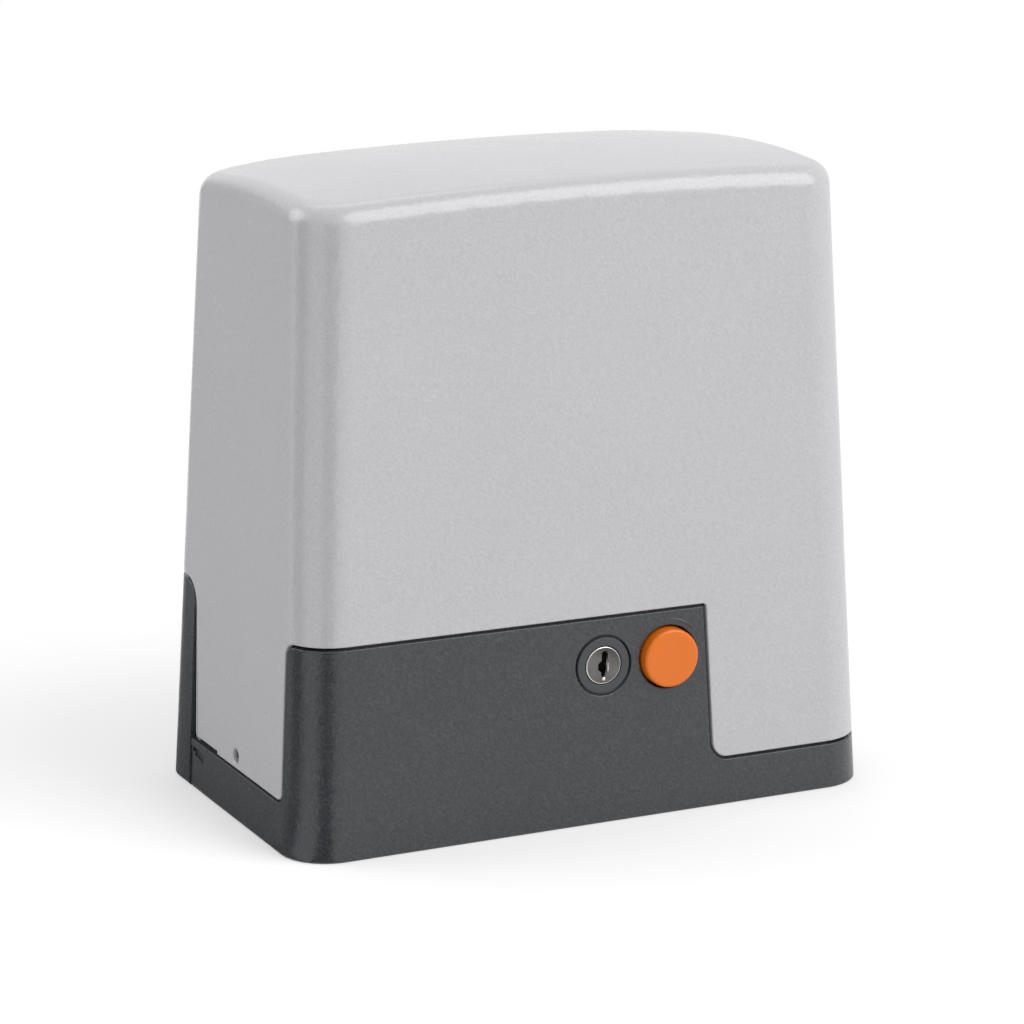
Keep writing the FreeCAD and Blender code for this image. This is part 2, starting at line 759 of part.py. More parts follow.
def side_channels(outer):
    """The shallow channel beside the seam on each side, and the finger pocket above it."""
    rear = SEAM_LOW - S.seam_draft * S.channel_top
    front = rear - S.channel_width
    reach = REACH / 2
    shallow = block((-reach, front, -1), (reach, rear, S.channel_top))
    shallow = shallow.cut(tapered_block(-5, S.channel_top + 5, S.channel_depth))
    pocket_low = S.channel_top - S.pocket_height
    points = [(front, pocket_low + 1, 0), (front + 2, pocket_low, 1.5), (rear - 2, pocket_low + 2, 1.5),
              (rear - 2, S.channel_top, 1.5), (front, S.channel_top, 0)]
    pocket = prism(points, "YZ", -reach, reach).cut(tapered_block(-5, S.channel_top + 5, S.pocket_depth))
    return shallow.fuse(pocket)


def make_rear_panel():
    """The dark rear wall with both rear corners, a hole for the gearbox nose and two inside ledges."""
    top = S.rear_panel_height
    outer = tapered_block(0, top + S.lip_rise + 5)
    foot_edges = [edge for edge in outer.Edges if edge.BoundBox.ZMax < 0.1]
    outer = outer.makeFillet(float(S.foot_edge), foot_edges)
    inner = tapered_block(-5, top + S.lip_rise + 10, S.base_wall)
    panel = outer.common(behind_seam(S.panel_gap, top, S.rear_panel_corner))
    lip = tapered_block(S.sill_height + S.panel_gap, top + S.lip_rise, S.cover_wall + S.lip_gap)
    lip = lip.common(behind_seam(-S.seam_cover, top + S.lip_rise, S.rear_panel_corner + S.lip_rise))
    panel = panel.fuse(lip).cut(inner)
    for x, y in PANEL_SCREWS:
        ledge = block((x - float(S.ledge_width) / 2, y - float(S.panel_ledge) / 2, float(S.floor_thickness)),
                      (x + float(S.ledge_width) / 2, REACH, float(S.floor_thickness + S.base_wall)))
        hole = bar(S.small_screw_radius, (x, y, 0), (x, y, REACH))
        panel = panel.fuse(ledge.common(outer)).cut(hole)
    nose_start = (SHAFT_X, 0, S.shaft_z)
    nose_hole = bar(S.snout_radius + S.panel_gap, nose_start, (SHAFT_X, REACH, S.shaft_z))
    return panel.cut(nose_hole).removeSplitter()


# ---------------------------------------------------------------- lock and release button

def lock_key_slot():
    """The keyway: an upright slot with its lower half set to one side."""
    face = LOCK_FACE - 1
    depth = LOCK_FACE + S.keyway_depth
    half, width = S.keyway_height / 2, S.keyway_width
    upper = block((LOCK_X - width * 0.75, face, S.shaft_z - 1),
                  (LOCK_X + width * 0.25, depth, S.shaft_z + half))
    lower = block((LOCK_X - width * 0.25, face, S.shaft_z - half),
                  (LOCK_X + width * 0.75, depth, S.shaft_z + 1))
    return upper.fuse(lower)


LOCK_FACE = FRONT_FACE
BARREL_END = LOCK_FACE + S.lock_barrel_length
PLUG_END = BARREL_END + S.split_gap
CAM_END = PLUG_END + S.cam_thickness


def make_lock():
    """Escutcheon barrel with its nut, and the turning core with its cam and cam screw."""
    at = (LOCK_X, LOCK_FACE, S.shaft_z)
    gap, face_end = S.running_gap, S.lock_face_depth
    plug_bore = S.lock_plug_radius + gap
    barrel = turned("lock_barrel", [
        (S.lock_face_radius + gap, 0), (S.lock_ring_radius - S.lock_ring_gap, 0),
        (S.lock_ring_radius - S.lock_ring_gap, S.lock_ring_depth), (S.lock_barrel_radius, S.lock_ring_depth),
        (S.lock_barrel_radius, S.lock_barrel_length), (plug_bore, S.lock_barrel_length),
        (plug_bore, face_end + gap), (S.lock_face_radius + gap, face_end + gap)], at, Y_AXIS)
    node("lock_barrel", barrel)
    plug_length = S.lock_barrel_length + S.split_gap
    core = turned("lock_core_blank", [
        (0, 0), (S.lock_face_radius, 0), (S.lock_face_radius, face_end), (S.lock_plug_radius, face_end),
        (S.lock_plug_radius, plug_length), (S.small_screw_radius, plug_length),
        (S.small_screw_radius, plug_length - 8), (0, plug_length - 8)], at, Y_AXIS)
    node("lock_core", cut("lock_core", core, feature("lock_keyway", lock_key_slot())))

    cam_width = S.cam_width
    cam_points = [(LOCK_X - cam_width / 2, S.shaft_z + cam_width / 2, 3), (LOCK_X + cam_width / 2,
                  S.shaft_z + cam_width / 2, 3), (LOCK_X + cam_width / 2, S.shaft_z - S.cam_length, 2),
                  (LOCK_X - cam_width / 2, S.shaft_z - S.cam_length, 2)]
    cam = prism(cam_points, "XZ", PLUG_END, CAM_END)
    cam = cam.cut(bar(S.small_screw_radius, (LOCK_X, PLUG_END - 1, S.shaft_z), (LOCK_X, CAM_END + 1, S.shaft_z)))
    node("lock_cam", feature("lock_cam", cam))
    head = S.small_screw_radius
    node("lock_cam_screw", turned("lock_cam_screw", [
        (0, 0), (head * 2, 0), (head * 2, head), (head, head), (head, head + S.cam_thickness + 6),
        (0, head + S.cam_thickness + 6)], (LOCK_X, CAM_END + head, S.shaft_z), -Y_AXIS))

    nut = hexagon("lock_nut_blank", S.lock_nut_width, S.lock_nut_thickness,
                  (LOCK_X, LOCK_BOSS_FACE, S.shaft_z), Y_AXIS)
    hole = cylinder("lock_nut_hole", S.lock_barrel_radius, S.lock_nut_thickness + 2,
                    (LOCK_X, LOCK_BOSS_FACE - 1, S.shaft_z), Y_AXIS)
    node("lock_nut", cut("lock_nut", nut, hole))


def coil_spring(length, sides, steps):
    """A round-wire compression spring along Z, as a wire of flat sides run along a helix in straight steps."""
    radius, wire, turns = float(S.spring_radius), float(S.spring_wire), int(float(S.spring_turns))
    route = []
    for step in range(turns * steps + 1):
        route.append(polar(radius, 2 * math.pi * step / steps, length * step / (turns * steps)))
    section = []
    for side in range(sides + 1):
        section.append(route[0] + Vector(wire * math.cos(2 * math.pi * side / sides), 0,
                                         wire * math.sin(2 * math.pi * side / sides)))
    return Part.makePolygon(route).makePipeShell([Part.makePolygon(section)], True, True, 1)


def make_release():
    """Push button with its stem, steel rod, retaining clip and return spring."""
    at = (SHAFT_X, BUTTON_FACE, S.shaft_z)
    outer, stem = S.button_radius, S.stem_radius
    hollow = outer - S.button_skin
    stem_end = STEM_END - BUTTON_FACE
    clip_low = GUIDE_END - BUTTON_FACE + S.panel_gap
    clip_high = clip_low + S.clip_thickness
    rod_seat = stem_end - S.guide_length
    body = turned("release_button", [
        (0, 0), (outer, 0), (outer, S.button_depth), (hollow, S.button_depth), (hollow, S.button_skin),
        (stem, S.button_skin), (stem, clip_low), (stem - 1, clip_low), (stem - 1, clip_high), (stem, clip_high),
        (stem, stem_end), (S.rod_radius, stem_end), (S.rod_radius, rod_seat), (0, rod_seat)], at, Y_AXIS)
    round_edges(body, lambda edge: abs(edge.BoundBox.ZMax) < 0.01 and edge.BoundBox.XLength > 2 * float(hollow),
                S.button_rim)
    node("release_button", body)
    rod_start = BUTTON_FACE + rod_seat
    rod_length = CHAMBER_FRONT - rod_start
    node("release_rod", cylinder("release_rod", S.rod_radius, rod_length,
                                 (SHAFT_X, rod_start, S.shaft_z), Y_AXIS))
    node("release_clip", ring("release_clip", stem - 1, stem + S.clip_width, S.clip_thickness,
                              (SHAFT_X, BUTTON_FACE + clip_low, S.shaft_z), Y_AXIS))
    spring_start = BUTTON_FACE + S.button_skin + S.spring_wire
    spring_length = WELL_FLOOR_FACE - S.spring_wire - spring_start
    spring = feature("release_spring", coil_spring(float(spring_length), 6, 16))
    spring.Placement = Placement(Vector(SHAFT_X, spring_start, S.shaft_z), Rotation(Z_AXIS, Y_AXIS))
    node("release_spring", spring)


def round_edges(body, wanted, radius):
    """Fillet the edges of a body's tip that answer a test."""
    doc.recompute()
    tip = body.Tip
    names = [f"Edge{index}" for index, edge in enumerate(tip.Shape.Edges, start=1) if wanted(edge)]
    fillet = body.newObject("PartDesign::Fillet", tip.Name + "_round")
    fillet.Base = (tip, names)
    link(fillet, "Radius", radius)


# ---------------------------------------------------------------- gears

def tooth_half_angle(radius, pitch_radius, teeth, backlash):
    """Half the angle that an involute tooth takes at a radius."""
    pressure = math.radians(20)
    base_radius = pitch_radius * math.cos(pressure)
    at_radius = math.acos(min(1.0, base_radius / radius))
    involute = math.tan(pressure) - pressure - (math.tan(at_radius) - at_radius)
    return math.pi / (2 * teeth) - backlash / (2 * pitch_radius) + involute


def gear_outline(module, teeth, backlash, turn, height):
    """The closed outline of a spur gear: straight tips and roots, flanks as arcs through the involute."""
    pitch_radius = module * teeth / 2
    radii = [pitch_radius - 1.25 * module, pitch_radius, pitch_radius + module]
    edges = []
    last = None
    for tooth in range(teeth + 1):
        middle = 2 * math.pi * tooth / teeth + turn
        halves = [tooth_half_angle(radius, pitch_radius, teeth, backlash) for radius in radii]
        rising = [polar(radius, middle - half, height) for radius, half in zip(radii, halves)]
        falling = [polar(radius, middle + half, height)
                   for radius, half in zip(reversed(radii), reversed(halves))]
        if last:
            edges.append(Part.LineSegment(last, rising[0]).toShape())
        if tooth < teeth:
            edges.append(Part.Arc(*rising).toShape())
            edges.append(Part.LineSegment(rising[2], falling[0]).toShape())
            edges.append(Part.Arc(*falling).toShape())
        last = falling[2]
    return Part.Wire(edges)


def polar(radius, angle, height=0.0):
    """A point at a radius and an angle about the Z axis."""
    return Vector(radius * math.cos(angle), radius * math.sin(angle), height)


def on_shaft(shape, start):
    """Lay a shape that stands on XY along the output shaft, starting at a place."""
    shape.Placement = Placement(Vector(SHAFT_X, start, S.shaft_z), Rotation(X_AXIS, -90)) * shape.Placement
    return shape


def key_slot(low, high, seat_radius):
    """The space of a key on top of the output shaft between two places along it."""
    half = S.key_width / 2
    return block((SHAFT_X - half, low, S.shaft_z + seat_radius - S.key_height / 2),
                 (SHAFT_X + half, high, S.shaft_z + seat_radius + S.key_height / 2))


def make_worm_wheel():
    """Helical worm wheel: twisted teeth on a rim, with a hub, a bore and a keyway."""
    module, teeth = float(S.wheel_module), int(float(S.wheel_teeth))
    width = float(S.wheel_width)
    lead_angle = math.atan(module / (2 * float(S.worm_pitch_radius)))
    twist = width * math.tan(lead_angle) / float(WHEEL_PITCH_RADIUS)
    sections = [gear_outline(module, teeth, float(S.mesh_backlash) / 2, turn, height)
                for turn, height in ((HAND * twist / 2, 0), (-HAND * twist / 2, width))]
    rim = Part.makeLoft(sections, True, True)
    hub = Part.makeCylinder(float(S.wheel_hub_radius), float(S.wheel_hub_width),
                            Vector(0, 0, (width - float(S.wheel_hub_width)) / 2))
    wheel = on_shaft(rim.fuse(hub), S.wheel_y - S.wheel_width / 2)
    for side in (-1, 1):
        face = S.wheel_y + side * S.wheel_width / 2
        web = pipe(S.wheel_hub_radius, WHEEL_PITCH_RADIUS - 4 * S.wheel_module, face - side * 4, face + side)
        wheel = wheel.cut(web)
    wheel = wheel.cut(bar(S.seat_radius, (SHAFT_X, -REACH, S.shaft_z), (SHAFT_X, REACH, S.shaft_z)))
    return wheel.cut(key_slot(-REACH, REACH, S.seat_radius))


def pipe(inner, outer, low, high):
    """A ring about the output axis between two places along it."""
    ends = [(SHAFT_X, low, S.shaft_z), (SHAFT_X, high, S.shaft_z)]
    return bar(outer, *ends).cut(bar(inner, *ends))


def make_pinion():
    """Output pinion for the gate's rack, with a keyway."""
    module, teeth = float(S.pinion_module), int(float(S.pinion_teeth))
    outline = gear_outline(module, teeth, float(S.mesh_backlash) / 2, 0.0, 0.0)
    pinion = on_shaft(Part.Face(outline).extrude(Z_AXIS * float(S.pinion_width)), PINION_FACE)
    for end, step in ((PINION_FACE, 2), (PINION_END, -2)):
        pinion = pinion.cut(pipe(S.pinion_hub_radius, S.pinion_module * (teeth / 2 - 2),
                                 end - step, end + step))
    pinion = pinion.cut(bar(S.pinion_seat_radius, (SHAFT_X, 0, S.shaft_z), (SHAFT_X, REACH, S.shaft_z)))
    return pinion.cut(key_slot(0, REACH, S.pinion_seat_radius))


def make_worm_shaft():
    """Rotor shaft with the worm cut on its lower end: one thread start, swept along a helix."""
    module = float(S.wheel_module)
    pitch = math.pi * module
    pitch_radius = float(S.worm_pitch_radius)
    root, tip = pitch_radius - 1.25 * module, pitch_radius + module
    slope = math.tan(math.radians(20))
    half = pitch / 4 - float(S.mesh_backlash) / 4
    inner = root - 0.4
    corners_rz = [(inner, half + (pitch_radius - inner) * slope), (tip, half - module * slope)]
    ring_points = [Vector(r, 0, z) for r, z in corners_rz]
    ring_points += [Vector(r, 0, -z) for r, z in reversed(corners_rz)]
    turns = 2 * math.ceil(float(S.worm_length) / (2 * pitch)) + 1
    helix = Part.makeHelix(pitch, pitch * turns, pitch_radius)
    thread = Part.Wire(helix).makePipeShell([Part.makePolygon(ring_points + ring_points[:1])], True, True)
    thread.translate(Vector(WORM_X, S.wheel_y, float(S.shaft_z) - pitch * turns / 2))
    top = S.shaft_z + S.worm_length / 2
    thread = thread.common(bar(tip + 1, (WORM_X, S.wheel_y, WORM_LOW), (WORM_X, S.wheel_y, top)))
    steps = [(S.low_journal_radius, LOW_BEARING_UNDER + 0.5, WORM_LOW - 2), (root, WORM_LOW - 2, top + 2),
             (S.rotor_shaft_radius, top + 2, CAN_TOP - 2), (S.low_journal_radius, CAN_TOP - 2, ENCODER_TOP)]
    shaft = None
    for radius, low, high in steps:
        length = bar(radius, (WORM_X, S.wheel_y, low), (WORM_X, S.wheel_y, high))
        shaft = length if shaft is None else shaft.fuse(length)
    return shaft.fuse(thread).removeSplitter()


HAND = -1
ENCODER_UNDER = SHIELD_TOP + S.shield_boss_height + S.split_gap
ENCODER_TOP = ENCODER_UNDER + S.encoder_thickness


def make_output():
    """Output shaft with its worm wheel, keys, circlip, pinion, washer and bolt."""
    start = LID_BOSS_FRONT + 1
    wheel_rear = S.wheel_y + S.wheel_hub_width / 2
    clip_rear = S.wheel_y - S.wheel_hub_width / 2
    clip_front = clip_rear - S.circlip_width
    seat_end = PINION_END - S.split_gap
    groove = S.seat_radius - 1

    def along(place_y):
        return place_y - start

    rod_bore = S.rod_radius + S.running_gap
    profile = [
        (rod_bore, 0), (S.shaft_radius, 0), (S.shaft_radius, along(CHAMBER_FRONT + S.panel_gap)),
        (S.seat_radius, along(CHAMBER_FRONT + S.panel_gap)), (S.seat_radius, along(clip_front)),
        (groove, along(clip_front)), (groove, along(clip_rear)), (S.seat_radius, along(clip_rear)),
        (S.seat_radius, along(wheel_rear)), (S.collar_radius, along(wheel_rear)),
        (S.collar_radius, along(wheel_rear + S.collar_width)),
        (S.seat_radius, along(wheel_rear + S.collar_width)),
        (S.seat_radius, along(REAR_BEARING_FACE)), (S.shaft_radius, along(REAR_BEARING_FACE)),
        (S.shaft_radius, along(PINION_FACE)), (S.pinion_seat_radius, along(PINION_FACE)),
        (S.pinion_seat_radius, along(seat_end)), (S.bolt_radius, along(seat_end)),
        (S.bolt_radius, along(seat_end - S.bolt_length)), (0, along(seat_end - S.bolt_length)),
        (0, along(wheel_rear)), (rod_bore, along(wheel_rear))]
    blank = turned("output_shaft_blank", profile, (SHAFT_X, start, S.shaft_z), Y_AXIS)
    wheel_key = (S.wheel_y - S.key_length / 2, S.wheel_y + S.key_length / 2)
    pinion_key = (PINION_FACE + 3, PINION_FACE + 3 + S.key_length)
    slots = [feature("wheel_key_space", key_slot(*wheel_key, S.seat_radius)),
             feature("pinion_key_space", key_slot(*pinion_key, S.pinion_seat_radius))]
    node("output_shaft", cut("output_shaft", blank, *slots))
    node("wheel_key", feature("wheel_key", key_slot(*wheel_key, S.seat_radius)))
    node("pinion_key", feature("pinion_key", key_slot(*pinion_key, S.pinion_seat_radius)))
    node("worm_wheel", feature("worm_wheel", make_worm_wheel()))
    node("wheel_circlip", ring("wheel_circlip", groove, groove + S.circlip_reach + 1, S.circlip_width,
                               (SHAFT_X, clip_front, S.shaft_z), Y_AXIS))
    node("output_pinion", feature("output_pinion", make_pinion()))
    node("pinion_washer", ring("pinion_washer", S.bolt_radius, S.washer_radius, S.washer_thickness,
                               (SHAFT_X, PINION_END, S.shaft_z), Y_AXIS))
    bolt_face = PINION_END + S.washer_thickness
    head = hexagon("pinion_bolt_head", S.bolt_head_width, S.bolt_head_height,
                   (SHAFT_X, bolt_face, S.shaft_z), Y_AXIS)
    shank_start = seat_end - S.bolt_length + 1
    shank = cylinder("pinion_bolt_shank", S.bolt_radius, bolt_face - shank_start + 1,
                     (SHAFT_X, shank_start, S.shaft_z), Y_AXIS)
    node("pinion_bolt", fuse("pinion_bolt", head, shank))


def make_rotor():
    """Worm shaft, rotor core and encoder disc: they turn together."""
    node("worm_shaft", feature("worm_shaft", make_worm_shaft()))
    at_axis = (WORM_X, S.wheel_y)
    node("rotor_core", ring("rotor_core", S.rotor_shaft_radius, S.rotor_radius, S.stator_length,
                            (*at_axis, STATOR_LOW)))
    node("encoder_disc", ring("encoder_disc", S.low_journal_radius, S.encoder_radius, S.encoder_thickness,
                              (*at_axis, ENCODER_UNDER)))


# ---------------------------------------------------------------- gearbox and motor

def tie_places():
    """The four tie rods around the motor, as (x, y) places."""
    reach = float(TIE_RADIUS) * math.sqrt(0.5)
    return [(float(WORM_X) + dx * reach, float(S.wheel_y) + dy * reach) for dx in (-1, 1) for dy in (-1, 1)]


def lid_screw_places():
    """Lid screws around the chamber as (x, z) places, none where the worm tower stands."""
    radius = float(CHAMBER_RADIUS + DRUM_RADIUS) / 2
    steps = int(float(S.lid_screw_steps))
    angles = [2 * math.pi * index / steps for index in range(steps)]
    return [(float(SHAFT_X) + radius * math.cos(angle), float(S.shaft_z) + radius * math.sin(angle))
            for angle in angles if math.cos(angle) > -0.75]


def make_gearbox_housing():
    """Cast gearbox: wheel drum, bearing nose, worm tower, motor flange with ears, and a screwed foot."""
    x, y, z = SHAFT_X, S.wheel_y, S.shaft_z
    drum = bar(DRUM_RADIUS, (x, CHAMBER_FRONT, z), (x, GEARBOX_REAR, z))
    nose = bar(S.nose_radius, (x, GEARBOX_REAR - 1, z), (x, NOSE_STEP, z))
    snout = bar(S.snout_radius, (x, NOSE_STEP - 1, z), (x, NOSE_END, z))
    tower = bar(S.tower_radius, (WORM_X, y, TOWER_LOW), (WORM_X, y, FLANGE_TOP))
    flange = bar(S.flange_radius, (WORM_X, y, FLANGE_UNDER), (WORM_X, y, FLANGE_TOP))
    pillar = bar(S.tower_radius - S.gearbox_wall, (WORM_X, y, S.floor_thickness), (WORM_X, y, TOWER_LOW + 1))
    foot = prism([(FOOT_LEFT, FOOT_FRONT, 8), (FOOT_RIGHT, FOOT_FRONT, 8), (FOOT_RIGHT, FOOT_REAR, 8),
                  (FOOT_LEFT, FOOT_REAR, 8)], "XY", S.floor_thickness, FOOT_TOP)
    web = block((x - DRUM_RADIUS * 0.7, CHAMBER_FRONT, FOOT_TOP - 1), (x + DRUM_RADIUS * 0.7, GEARBOX_REAR, z))
    nose_rib = block((x - S.gearbox_wall / 2, GEARBOX_REAR - 1, FOOT_TOP - 1),
                     (x + S.gearbox_wall / 2, FOOT_REAR, z))
    casting = drum
    for solid in (nose, snout, tower, flange, pillar, foot, web, nose_rib):
        casting = casting.fuse(solid)
    for px, py in tie_places():
        casting = casting.fuse(bar(S.tie_ear_radius, (px, py, FLANGE_UNDER), (px, py, FLANGE_TOP)))
    worm_bore = S.worm_pitch_radius + S.wheel_module + 1.2
    cuts = [bar(CHAMBER_RADIUS, (x, CHAMBER_FRONT - 1, z), (x, CHAMBER_REAR, z)),
            bar(S.rear_bearing_outer, (x, CHAMBER_REAR - 1, z), (x, SEAL_FACE, z)),
            bar(S.seal_outer, (x, SEAL_FACE - 1, z), (x, NOSE_END + 1, z)),
            bar(worm_bore, (WORM_X, y, WORM_LOW - 3), (WORM_X, y, FLANGE_TOP + 1)),
            bar(S.mid_bearing_outer, (WORM_X, y, MID_BEARING_UNDER), (WORM_X, y, FLANGE_TOP + 1)),
            bar(S.low_bearing_outer, (WORM_X, y, LOW_BEARING_UNDER), (WORM_X, y, WORM_LOW))]
    cuts += [bar(S.lid_screw_radius, (px, CHAMBER_FRONT - 1, pz), (px, CHAMBER_FRONT + 12, pz))
             for px, pz in lid_screw_places()]
    cuts += [bar(S.foot_screw_radius, (px, py, 0), (px, py, FOOT_TOP + 1)) for px, py in GEARBOX_SCREWS]
    cuts += [bar(S.tie_rod_radius, (px, py, FLANGE_UNDER - 1), (px, py, FLANGE_TOP + 1))
             for px, py in tie_places()]
    for tool in cuts:
        casting = casting.cut(tool)
    return casting.removeSplitter()


def make_gearbox_lid():
    """Front lid with a boss for the front bearing, cut clear of the worm tower."""
    x, z = SHAFT_X, S.shaft_z
    lid = bar(DRUM_RADIUS, (x, LID_FRONT, z), (x, CHAMBER_FRONT, z))
    lid = lid.fuse(bar(S.front_bearing_outer + S.lid_boss_wall, (x, LID_BOSS_FRONT, z), (x, LID_FRONT + 1, z)))
    cuts = [bar(S.front_bearing_outer, (x, CHAMBER_FRONT - S.front_bearing_width, z), (x, CHAMBER_FRONT + 1, z)),
            bar(S.shaft_radius + S.lip_gap, (x, LID_BOSS_FRONT - 1, z), (x, CHAMBER_FRONT, z)),
            bar(S.tower_radius + S.panel_gap, (WORM_X, S.wheel_y, 0), (WORM_X, S.wheel_y, REACH))]
    cuts += [bar(S.lid_screw_radius, (px, LID_FRONT - 1, pz), (px, CHAMBER_FRONT + 1, pz))
             for px, pz in lid_screw_places()]
    for tool in cuts:
        lid = lid.cut(tool)
    return lid.removeSplitter()


def make_motor_shield():
    """Upper end shield with a bearing boss and four tie-rod ears."""
    x, y = WORM_X, S.wheel_y
    shield = bar(S.can_radius, (x, y, CAN_TOP), (x, y, SHIELD_TOP))
    boss_top = SHIELD_TOP + S.shield_boss_height
    shield = shield.fuse(bar(S.low_bearing_outer + 4, (x, y, CAN_TOP), (x, y, boss_top)))
    for px, py in tie_places():
        shield = shield.fuse(bar(S.tie_ear_radius, (px, py, CAN_TOP), (px, py, SHIELD_TOP)))
    cuts = [bar(S.low_bearing_outer, (x, y, CAN_TOP - 1), (x, y, CAN_TOP + S.low_bearing_width)),
            bar(S.low_journal_radius + S.lip_gap, (x, y, CAN_TOP), (x, y, boss_top + 1))]
    cuts += [bar(S.tie_rod_radius, (px, py, CAN_TOP - 1), (px, py, SHIELD_TOP + 1))
             for px, py in tie_places()]
    for tool in cuts:
        shield = shield.cut(tool)
    return shield.removeSplitter()


def make_bearings():
    """Five ball bearings as plain rings with a running fit on their shafts, and the shaft seal."""
    shaft_bore = S.shaft_radius + S.running_gap
    journal_bore = S.low_journal_radius + S.running_gap
    on_output = {"front_bearing": (S.front_bearing_outer, S.front_bearing_width,
                                   CHAMBER_FRONT - S.front_bearing_width),
                 "rear_bearing": (S.rear_bearing_outer, S.rear_bearing_width, REAR_BEARING_FACE),
                 "output_seal": (S.seal_outer, S.seal_width, SEAL_FACE)}
    for name, (outer, width, start) in on_output.items():
        node(name, ring(name, shaft_bore, outer, width, (SHAFT_X, start, S.shaft_z), Y_AXIS))
    on_rotor = {"worm_bearing": (journal_bore, S.low_bearing_outer, S.low_bearing_width, LOW_BEARING_UNDER),
                "rotor_bearing": (S.rotor_shaft_radius + S.running_gap, S.mid_bearing_outer, S.mid_bearing_width,
                                  MID_BEARING_UNDER),
                "shield_bearing": (journal_bore, S.low_bearing_outer, S.low_bearing_width, CAN_TOP)}
    for name, (bore, outer, width, start) in on_rotor.items():
        node(name, ring(name, bore, outer, width, (WORM_X, S.wheel_y, start)))


def make_gearbox_and_motor():
    """The cast gearbox, its lid and screws, and the fixed parts of the motor."""
    node("gearbox_housing", feature("gearbox_housing", make_gearbox_housing()))
    node("gearbox_lid", feature("gearbox_lid", make_gearbox_lid()))
    lid_screws = [cap_screw(f"lid_screw_{index}", S.lid_screw_radius, S.lid_thickness + S.lid_screw_grip,
                            (px, LID_FRONT, pz), Y_AXIS)
                  for index, (px, pz) in enumerate(lid_screw_places())]
    node("gearbox_lid_screws", group("gearbox_lid_screws", lid_screws))
    foot_screws = [cap_screw(f"foot_screw_{index}", S.foot_screw_radius, FOOT_TOP - 1,
                             (px, py, FOOT_TOP), -Z_AXIS)
                   for index, (px, py) in enumerate(GEARBOX_SCREWS)]
    node("gearbox_foot_screws", group("gearbox_foot_screws", foot_screws))

    at_axis = (WORM_X, S.wheel_y)
    inside = S.can_radius - S.can_wall
    node("motor_can", ring("motor_can", inside, S.can_radius, S.can_length, (*at_axis, FLANGE_TOP)))
    node("stator_core", ring("stator_core", S.rotor_radius + S.air_gap, inside, S.stator_length,
                             (*at_axis, STATOR_LOW)))
    coils = [ring(f"winding_{end}", S.winding_inner, S.winding_outer, S.winding_height, (*at_axis, start))
             for end, start in (("low", STATOR_LOW - S.winding_height), ("high", STATOR_TOP))]
    node("stator_windings", group("stator_windings", coils))
    node("motor_shield", feature("motor_shield", make_motor_shield()))
    rods = [tie_rod(index, px, py) for index, (px, py) in enumerate(tie_places())]
    node("motor_tie_rods", group("motor_tie_rods", rods))


def cap_screw(name, radius, length, face, axis):
    """A screw of a shank radius whose head sits on a face and whose shank runs along an axis into it."""
    head = radius * 1.6
    profile = [(0, 0), (radius * 1.8, 0), (radius * 1.8, head), (radius, head), (radius, head + length),
               (0, head + length)]
    at = [start - head * float(part) if part else start for start, part in zip(face, axis)]
    return turned(name, profile, at, axis)


def tie_rod(index, x, y):
    """A tie rod with a nut at its top, from under the flange to above the shield."""
    rod = cylinder(f"tie_rod_{index}", S.tie_rod_radius, SHIELD_TOP - FLANGE_UNDER + 6,
                   (x, y, FLANGE_UNDER - 1))
    top = hexagon(f"tie_nut_top_{index}", S.tie_rod_radius * 3.4, 4, (x, y, SHIELD_TOP))
    low = hexagon(f"tie_nut_low_{index}", S.tie_rod_radius * 3.4, 4, (x, y, FLANGE_UNDER - 4))
    return fuse(f"tie_{index}", rod, top, low)


# ---------------------------------------------------------------- electrical parts

def board_screw_places():
    """The four board screws as (x, z) places."""
    half = float(S.board_width) / 2 - float(S.board_screw_inset)
    low = float(S.board_z + S.board_screw_inset)
    high = float(S.board_z + S.board_height - S.board_screw_inset)
    return [(float(S.board_x) + side * half, height) for side in (-1, 1) for height in (low, high)]


def make_board_tray():
    """Tray behind the control board: a plate with four stand-offs on two legs screwed to the floor."""
    half = S.board_width / 2 + S.tray_margin
    plate_low = S.board_z - S.tray_margin
    tray = prism([(S.board_x - half, plate_low, 5), (S.board_x + half, plate_low, 5),
                  (S.board_x + half, S.board_z + S.board_height + S.tray_margin, 5),
                  (S.board_x - half, S.board_z + S.board_height + S.tray_margin, 5)], "XZ", TRAY_FRONT, TRAY_REAR)
    for x in TRAY_LEGS:
        half_leg = float(S.tray_leg_width) / 2
        leg = block((x - half_leg, TRAY_FRONT, S.floor_thickness), (x + half_leg, TRAY_REAR, plate_low + 2))
        toe = block((x - half_leg, TRAY_FRONT - S.tray_toe, S.floor_thickness),
                    (x + half_leg, TRAY_REAR, S.floor_thickness + S.tray_thickness))
        tray = tray.fuse(leg).fuse(toe)
    for x, z in board_screw_places():
        tray = tray.fuse(bar(S.board_screw_radius * 2.2, (x, BOARD_REAR, z), (x, TRAY_FRONT + 1, z)))
    for x, z in board_screw_places():
        tray = tray.cut(bar(S.board_screw_radius, (x, BOARD_REAR - 1, z), (x, TRAY_REAR + 1, z)))
    for x, y in TRAY_SCREWS:
        tray = tray.cut(bar(S.small_screw_radius, (x, y, 0), (x, y, S.floor_thickness + S.tray_thickness + 1)))
    return tray.removeSplitter()


